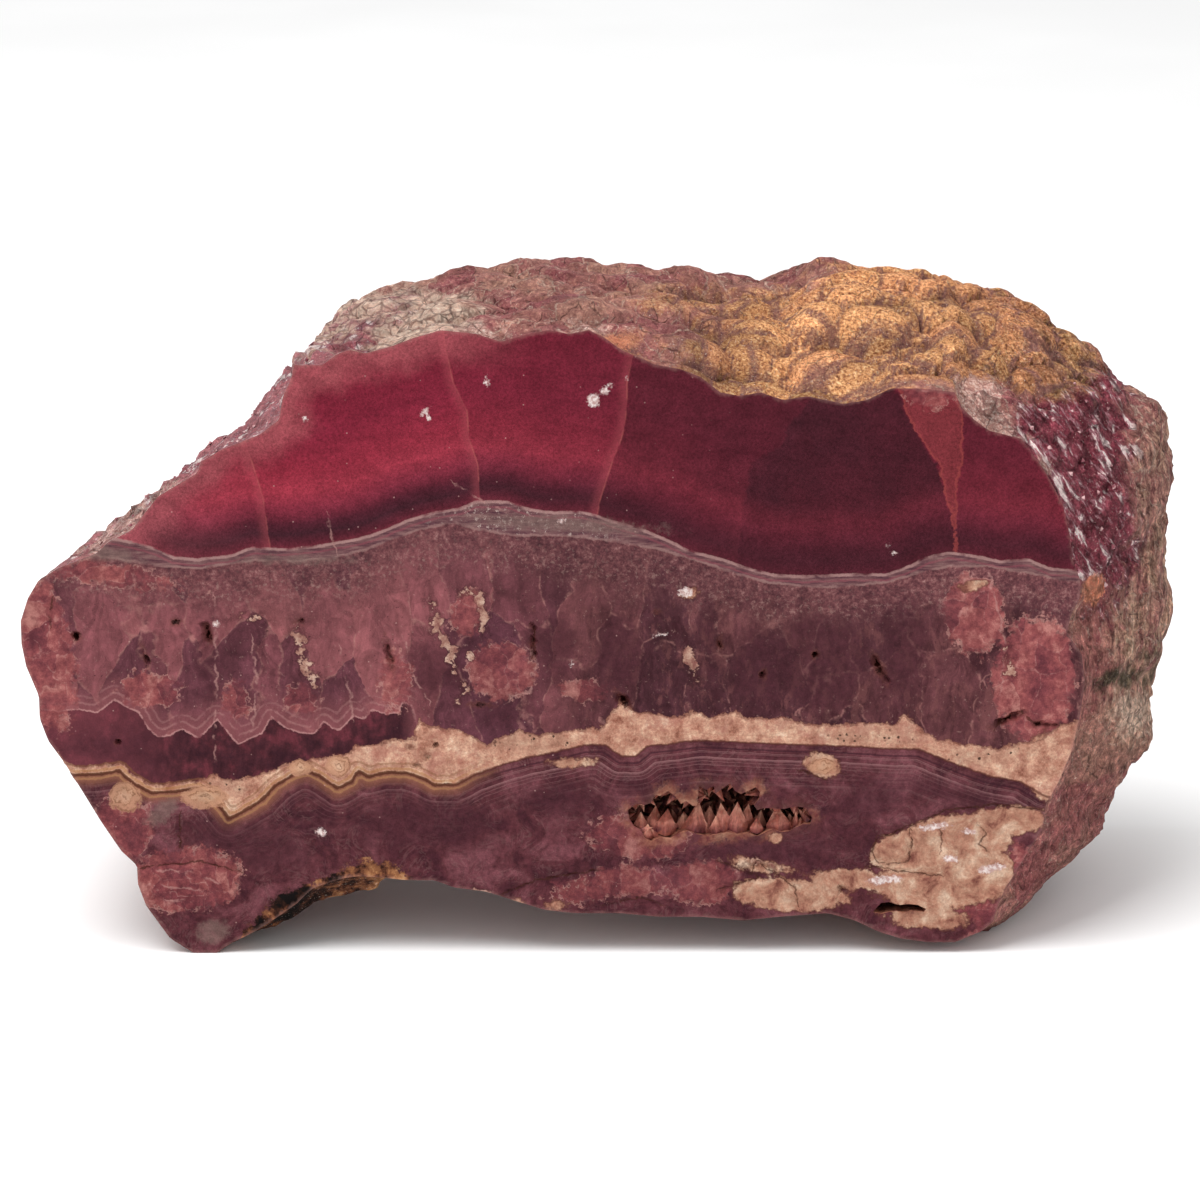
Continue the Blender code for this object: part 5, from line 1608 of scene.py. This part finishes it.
def growth_tree(material):
    """Nodes that grow pointed crystals from the faces of a surface, as plain mesh."""
    tree = bpy.data.node_groups.new("crystal_growth", "GeometryNodeTree")
    face = tree.interface
    for name, kind in (("Surface", "Geometry"), ("Spacing", "Float"), ("Density", "Float"),
                       ("Length", "Float"), ("Radius", "Float"), ("Sides", "Int"), ("Seed", "Int")):
        face.new_socket(name, in_out="INPUT", socket_type="NodeSocket" + kind)
    face.new_socket("Crystals", in_out="OUTPUT", socket_type="NodeSocketGeometry")
    nodes = tree.nodes
    given, result = nodes.new("NodeGroupInput"), nodes.new("NodeGroupOutput")
    spots = nodes.new("GeometryNodeDistributePointsOnFaces")
    spots.distribute_method = "POISSON"
    here = nodes.new("GeometryNodeInputNamedAttribute")
    here.data_type = "FLOAT"
    here.inputs["Name"].default_value = "growth"
    cone = nodes.new("GeometryNodeMeshCone")
    place = nodes.new("GeometryNodeInputPosition")
    parts = nodes.new("ShaderNodeSeparateXYZ")
    share = nodes.new("ShaderNodeMath")
    share.operation = "DIVIDE"
    keep = nodes.new("GeometryNodeStoreNamedAttribute")
    keep.inputs["Name"].default_value = "tip"
    scale = nodes.new("FunctionNodeRandomValue")
    scale.data_type = "FLOAT"
    for socket, size in zip(scale.inputs[2:4], GROWN_SIZES):
        socket.default_value = size
    lean = nodes.new("FunctionNodeRandomValue")
    lean.data_type = "FLOAT_VECTOR"
    lean.inputs[0].default_value = [-GROWN_LEAN] * 3
    lean.inputs[1].default_value = [GROWN_LEAN] * 3
    tilt = nodes.new("ShaderNodeVectorMath")
    turn = nodes.new("FunctionNodeAlignRotationToVector")
    turn.axis = "Z"
    grow = nodes.new("GeometryNodeInstanceOnPoints")
    real = nodes.new("GeometryNodeRealizeInstances")
    coat = nodes.new("GeometryNodeSetMaterial")
    coat.inputs["Material"].default_value = material
    for source, output, target, entry in (
            (given, "Surface", spots, "Mesh"), (given, "Spacing", spots, "Distance Min"),
            (given, "Density", spots, "Density Max"), (here, "Attribute", spots, "Density Factor"),
            (given, "Seed", spots, "Seed"), (given, "Sides", cone, "Vertices"),
            (given, "Radius", cone, "Radius Bottom"), (given, "Length", cone, "Depth"),
            (place, "Position", parts, 0), (parts, "Z", share, 0), (given, "Length", share, 1),
            (cone, "Mesh", keep, "Geometry"), (share, "Value", keep, "Value"),
            (given, "Seed", scale, "Seed"), (given, "Seed", lean, "Seed"),
            (spots, "Normal", tilt, 0), (lean, 0, tilt, 1), (tilt, "Vector", turn, "Vector"),
            (spots, "Points", grow, "Points"), (keep, "Geometry", grow, "Instance"),
            (turn, "Rotation", grow, "Rotation"), (scale, 1, grow, "Scale"),
            (grow, "Instances", real, "Geometry"), (real, "Geometry", coat, "Geometry"),
            (coat, "Geometry", result, "Crystals")):
        tree.links.new(source.outputs[output], target.inputs[entry])
    return tree


def grown(name, surface, tree, sizes):
    """Crystals grown on a surface, baked to a plain mesh. The surface itself is removed."""
    maker = surface.modifiers.new("growth", "NODES")
    maker.node_group = tree
    for socket in tree.interface.items_tree:
        if socket.in_out == "INPUT" and socket.name in sizes:
            maker[socket.identifier] = sizes[socket.name]
    evaluated = surface.evaluated_get(bpy.context.evaluated_depsgraph_get())
    mesh = bpy.data.meshes.new_from_object(evaluated)
    mesh.name = name
    surface.modifiers.remove(maker)
    bpy.data.objects.remove(surface, do_unlink=True)
    return mesh


def crystal_parts(foot, aim, length, radius):
    """Corners, faces and tip shares of one pointed crystal."""
    side = aim.cross(Vector((0, 1, 0.2))).normalized()
    other = aim.cross(side)
    corners, tips = [], []
    for along, wide, share in ((0.0, radius * CRYSTAL_FOOT, 0.0),
                               (length * CRYSTAL_SHOULDER, radius, 0.4)):
        for index in range(CRYSTAL_SIDES):
            turn = 2 * math.pi * index / CRYSTAL_SIDES
            corners.append(foot + aim * along + (side * math.cos(turn) + other * math.sin(turn)) * wide)
            tips.append(share)
    corners.append(foot + aim * length)
    tips.append(1.0)
    faces = [tuple(range(CRYSTAL_SIDES))]
    for index in range(CRYSTAL_SIDES):
        following = (index + 1) % CRYSTAL_SIDES
        above, tip = CRYSTAL_SIDES + index, 2 * CRYSTAL_SIDES
        faces.append((index, following, CRYSTAL_SIDES + following, above))
        faces.append((above, CRYSTAL_SIDES + following, tip))
    return corners, faces, tips


def mouth_crystals():
    """The tall crystals that stand in the mouth of the hollow, as one mesh."""
    corners, faces, tips = [], [], []
    for px, py, length, radius, depth in MOUTH_CRYSTALS:
        x, z = on_face(px, py)
        drop = depth * math.tan(CAMERA_ELEVATION)
        tip = Vector((x, FACE_Y + depth, z - drop))
        lean, tilt = CRYSTAL_LEAN[0] * math.sin(px), -CRYSTAL_LEAN[1] * math.cos(py)
        aim = Vector((lean, tilt, 1.0)).normalized()
        made = crystal_parts(tip - aim * length, aim, length, radius * CRYSTAL_WIDTH)
        faces += [tuple(corner + len(corners) for corner in face) for face in made[1]]
        corners += [Vector((c.x, max(c.y, FACE_Y + MOUTH_INSET), c.z)) for c in made[0]]
        tips += made[2]
    mesh = bpy.data.meshes.new("mouth_crystals")
    mesh.from_pydata([corner * MM for corner in corners], [], faces)
    mesh.attributes.new("tip", "FLOAT", "POINT").data.foreach_set("value", tips)
    close_up(mesh)
    return mesh


def picked_faces(stone, name, choose):
    """A copy of the stone's faces, which carries how densely grains grow at each of its points."""
    mesh = stone.data.copy()
    surface = as_piece(mesh, name)
    growth = mesh.attributes.new("growth", "FLOAT", "POINT")
    growth.data.foreach_set("value", choose(mesh))
    return surface


def vertex_places(mesh):
    flat = np.empty(len(mesh.vertices) * 3)
    mesh.vertices.foreach_get("co", flat)
    return flat.reshape(-1, 3) / MM


def near_hollow(mesh):
    """1 on the wall of the hollow behind its rim, 0 elsewhere."""
    spots = vertex_places(mesh)
    rim = places(HOLLOW_RIM)
    low, high = rim.min(axis=0) - WALL_REACH, rim.max(axis=0) + WALL_REACH
    within = ((spots[:, 0] > low[0]) & (spots[:, 0] < high[0])
              & (spots[:, 2] > low[1]) & (spots[:, 2] < high[1]))
    depth = spots[:, 1] - FACE_Y
    return (within & (depth > WALL_DEPTHS[0]) & (depth < WALL_DEPTHS[1])) * 1.0


def on_broken_skin(mesh):
    """How much of the skin is bright cleavage at each vertex."""
    minerals = np.empty(len(mesh.vertices) * 3)
    mesh.attributes["minerals"].data.foreach_get("vector", minerals)
    spots = vertex_places(mesh)
    depth = spots[:, 1] - FACE_Y
    inner = rise(depth, GRAIN_START, GRAIN_MARGIN) * (depth < THICKNESS - GRAIN_MARGIN)
    inner *= spots[:, 0] > STONE_LOW[0] / MM + GRAIN_MARGIN
    return rise(minerals.reshape(-1, 3)[:, 2], 0.0, 2.0) * inner


class StoneSettings(bpy.types.PropertyGroup):
    """Sizes and finish of the stone."""
    face_spacing: bpy.props.FloatProperty(
        name="Face spacing", description="Distance between points of the cut face",
        default=0.52 * MM, min=0.3 * MM, unit="LENGTH")
    skin_crowding: bpy.props.IntProperty(
        name="Skin crowding", description="Points round the rim for each point of the plain model",
        default=4, min=1, max=5)
    skin_rings: bpy.props.IntProperty(
        name="Skin rings", description="Rings of points between the cut face and the back",
        default=74, min=12, max=120)
    polish_roughness: bpy.props.FloatProperty(
        name="Polish", description="Least roughness of the cut face", default=0.3, min=0.02, max=1.0)


class CrystalSettings(bpy.types.PropertyGroup):
    """Sizes of the crystals in the hollow and of the grains on the skin."""
    crystal_length: bpy.props.FloatProperty(
        name="Crystal length", description="Longest crystal on the hollow's wall",
        default=2.4 * MM, unit="LENGTH")
    crystal_radius: bpy.props.FloatProperty(
        name="Crystal radius", description="Radius of a crystal at its foot",
        default=0.75 * MM, unit="LENGTH")
    crystal_spacing: bpy.props.FloatProperty(
        name="Crystal spacing", description="Least distance between crystals",
        default=1.0 * MM, unit="LENGTH")
    grain_length: bpy.props.FloatProperty(
        name="Grain length", description="Longest cleavage grain on the skin",
        default=0.45 * MM, unit="LENGTH")
    grain_spacing: bpy.props.FloatProperty(
        name="Grain spacing", description="Least distance between grains",
        default=3.0 * MM, unit="LENGTH")
    seed: bpy.props.IntProperty(name="Seed", description="Where the crystals grow", default=11)


class StageSettings(bpy.types.PropertyGroup):
    """The studio stage."""
    floor_size: bpy.props.FloatProperty(
        name="Floor size", description="Width of the floor", default=8.0, unit="LENGTH")
    sky_strength: bpy.props.FloatProperty(
        name="Sky", description="Strength of the even white light", default=0.8, min=0.0)
    lamp_power: bpy.props.FloatProperty(
        name="Lamp", description="Power of the soft overhead lamp", default=9.0, unit="POWER")


class RHODO_OT_stone(bpy.types.Operator):
    """Dress the stone with its banded face, its rind and its sawn back"""
    bl_idname = "rhodo.stone"
    bl_label = "Stone"

    def execute(self, context):
        settings = context.scene.rhodo_stone
        stone = as_piece(build_stone(settings), "rhodochrosite_stone")
        for finish in (polished_face(settings.polish_roughness), weathered_rind(), sawn_back(),
                       hollow_wall()):
            stone.data.materials.append(finish)
        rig.replaces(stone, "slice")
        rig.slot(stone, "banded_stone")
        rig.ride(stone, "root")
        return {"FINISHED"}


class RHODO_OT_crystals(bpy.types.Operator):
    """Grow the crystals of the hollow"""
    bl_idname = "rhodo.crystals"
    bl_label = "Hollow crystals"

    def execute(self, context):
        settings = context.scene.rhodo_crystals
        stone = bpy.data.objects["rhodochrosite_stone"]
        coat = hollow_crystal()
        wall = picked_faces(stone, "wall", near_hollow)
        mesh = grown("wall_crystals", wall, growth_tree(coat), {
            "Spacing": settings.crystal_spacing, "Density": WALL_DENSITY, "Sides": WALL_SIDES,
            "Length": settings.crystal_length, "Radius": settings.crystal_radius,
            "Seed": settings.seed})
        work = bmesh.new()
        work.from_mesh(mesh)
        work.from_mesh(mouth_crystals())
        work.to_mesh(mesh)
        work.free()
        mesh.materials.clear()
        mesh.materials.append(coat)
        mesh.shade_flat()
        piece = as_piece(mesh, "hollow_crystals")
        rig.replaces(piece, "vug_crystals")
        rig.slot(piece, "hollow_crystals")
        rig.ride(piece, "root")
        return {"FINISHED"}


class RHODO_OT_grains(bpy.types.Operator):
    """Scatter bright cleavage grains over the broken skin"""
    bl_idname = "rhodo.grains"
    bl_label = "Cleavage grains"

    def execute(self, context):
        settings = context.scene.rhodo_crystals
        stone = bpy.data.objects["rhodochrosite_stone"]
        skin_copy = picked_faces(stone, "skin", on_broken_skin)
        mesh = grown("cleavage_grains", skin_copy, growth_tree(bright_grain()), {
            "Spacing": settings.grain_spacing, "Density": GRAIN_DENSITY, "Sides": GRAIN_SIDES,
            "Length": settings.grain_length, "Radius": settings.grain_length * GRAIN_WIDTH,
            "Seed": settings.seed + 1})
        mesh.shade_flat()
        piece = as_piece(mesh, "cleavage_grains")
        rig.slot(piece, "banded_stone")
        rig.ride(piece, "root")
        return {"FINISHED"}


class RHODO_OT_stage(bpy.types.Operator):
    """Set the pale floor, the soft light and the camera"""
    bl_idname = "rhodo.stage"
    bl_label = "Stage"

    def execute(self, context):
        settings = context.scene.rhodo_stage
        make_floor(settings)
        make_light(settings)
        make_camera()
        return {"FINISHED"}


class RHODO_PT_panel(bpy.types.Panel):
    """Steps that dress the slice, in order"""
    bl_label = "Rhodochrosite Slice"
    bl_idname = "RHODO_PT_panel"
    bl_space_type = "VIEW_3D"
    bl_region_type = "UI"
    bl_category = "Mineral"

    def draw(self, context):
        scene = context.scene
        for step, settings in ((RHODO_OT_stone, scene.rhodo_stone),
                               (RHODO_OT_crystals, scene.rhodo_crystals),
                               (RHODO_OT_grains, None), (RHODO_OT_stage, scene.rhodo_stage)):
            self.layout.operator(step.bl_idname)
            for name in (settings.bl_rna.properties.keys() if settings else ()):
                if name not in ("rna_type", "name"):
                    self.layout.prop(settings, name)


def make_floor(settings):
    """A wide pale floor under the stone."""
    half = settings.floor_size / 2
    mesh = bpy.data.meshes.new("floor")
    corners = [(-half, -half, 0), (half, -half, 0), (half, half, 0), (-half, half, 0)]
    mesh.from_pydata(corners, [], [(0, 1, 2, 3)])
    f = Finish("studio_floor")
    tone = f.mix(f.rise(f.noise(0.01, 2), 0.3, 0.7), "#f4f4f4", "#f8f8f8")
    mesh.materials.append(f.finish(tone, 0.6, specular=0.2))
    floor = as_piece(mesh, "floor")
    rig.stage(floor)


def make_light(settings):
    """Even white light from all round and a broad soft lamp overhead, a little to the left."""
    world = bpy.data.worlds.new("studio")
    world.use_nodes = True
    sky = world.node_tree.nodes["Background"].inputs
    sky["Color"].default_value = (1.0, 1.0, 1.0, 1.0)
    sky["Strength"].default_value = settings.sky_strength
    bpy.context.scene.world = world
    for name, place, size, share in LAMPS:
        lamp = bpy.data.lights.new(name, "AREA")
        lamp.energy = settings.lamp_power * share
        lamp.size = size
        holder = bpy.data.objects.new(name, lamp)
        holder.location = place
        aim = LAMP_AIM - Vector(place)
        holder.rotation_euler = aim.to_track_quat("-Z", "Y").to_euler()
        bpy.context.scene.collection.objects.link(holder)
    bpy.context.scene.view_settings.view_transform = "Standard"


def make_camera():
    """A camera at the photograph's height and distance, straight in front of the cut face."""
    lens = bpy.data.cameras.new("camera")
    lens.sensor_width = SENSOR
    lens.lens = CAMERA_SCALE * CAMERA_DISTANCE * SENSOR / FRAME_PIXELS
    camera = bpy.data.objects.new("camera", lens)
    back = CAMERA_DISTANCE * math.cos(CAMERA_ELEVATION)
    up = CAMERA_DISTANCE * math.sin(CAMERA_ELEVATION)
    camera.location = Vector((CAMERA_X, FACE_Y - back, aim_height() + up)) * MM
    camera.rotation_euler = (math.pi / 2 - CAMERA_ELEVATION, 0.0, 0.0)
    bpy.context.scene.collection.objects.link(camera)
    bpy.context.scene.camera = camera


CLASSES = (StoneSettings, CrystalSettings, StageSettings, RHODO_OT_stone, RHODO_OT_crystals,
           RHODO_OT_grains, RHODO_OT_stage, RHODO_PT_panel)


def register():
    for each in CLASSES:
        bpy.utils.register_class(each)
    bpy.types.Scene.rhodo_stone = bpy.props.PointerProperty(type=StoneSettings)
    bpy.types.Scene.rhodo_crystals = bpy.props.PointerProperty(type=CrystalSettings)
    bpy.types.Scene.rhodo_stage = bpy.props.PointerProperty(type=StageSettings)


def unregister():
    for name in ("rhodo_stone", "rhodo_crystals", "rhodo_stage"):
        delattr(bpy.types.Scene, name)
    for each in reversed(CLASSES):
        bpy.utils.unregister_class(each)


def main():
    register()
    bpy.ops.rhodo.stage()
    bpy.ops.rhodo.stone()
    bpy.ops.rhodo.crystals()
    bpy.ops.rhodo.grains()
    sizes = {"cad": [list(corner) for corner in CAD_BOUNDS],
             "visual": [list(corner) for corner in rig.bounds()]}
    with open(SIZE_FILE, "w") as file:
        json.dump(sizes, file)


if __name__ == "__main__":
    main()
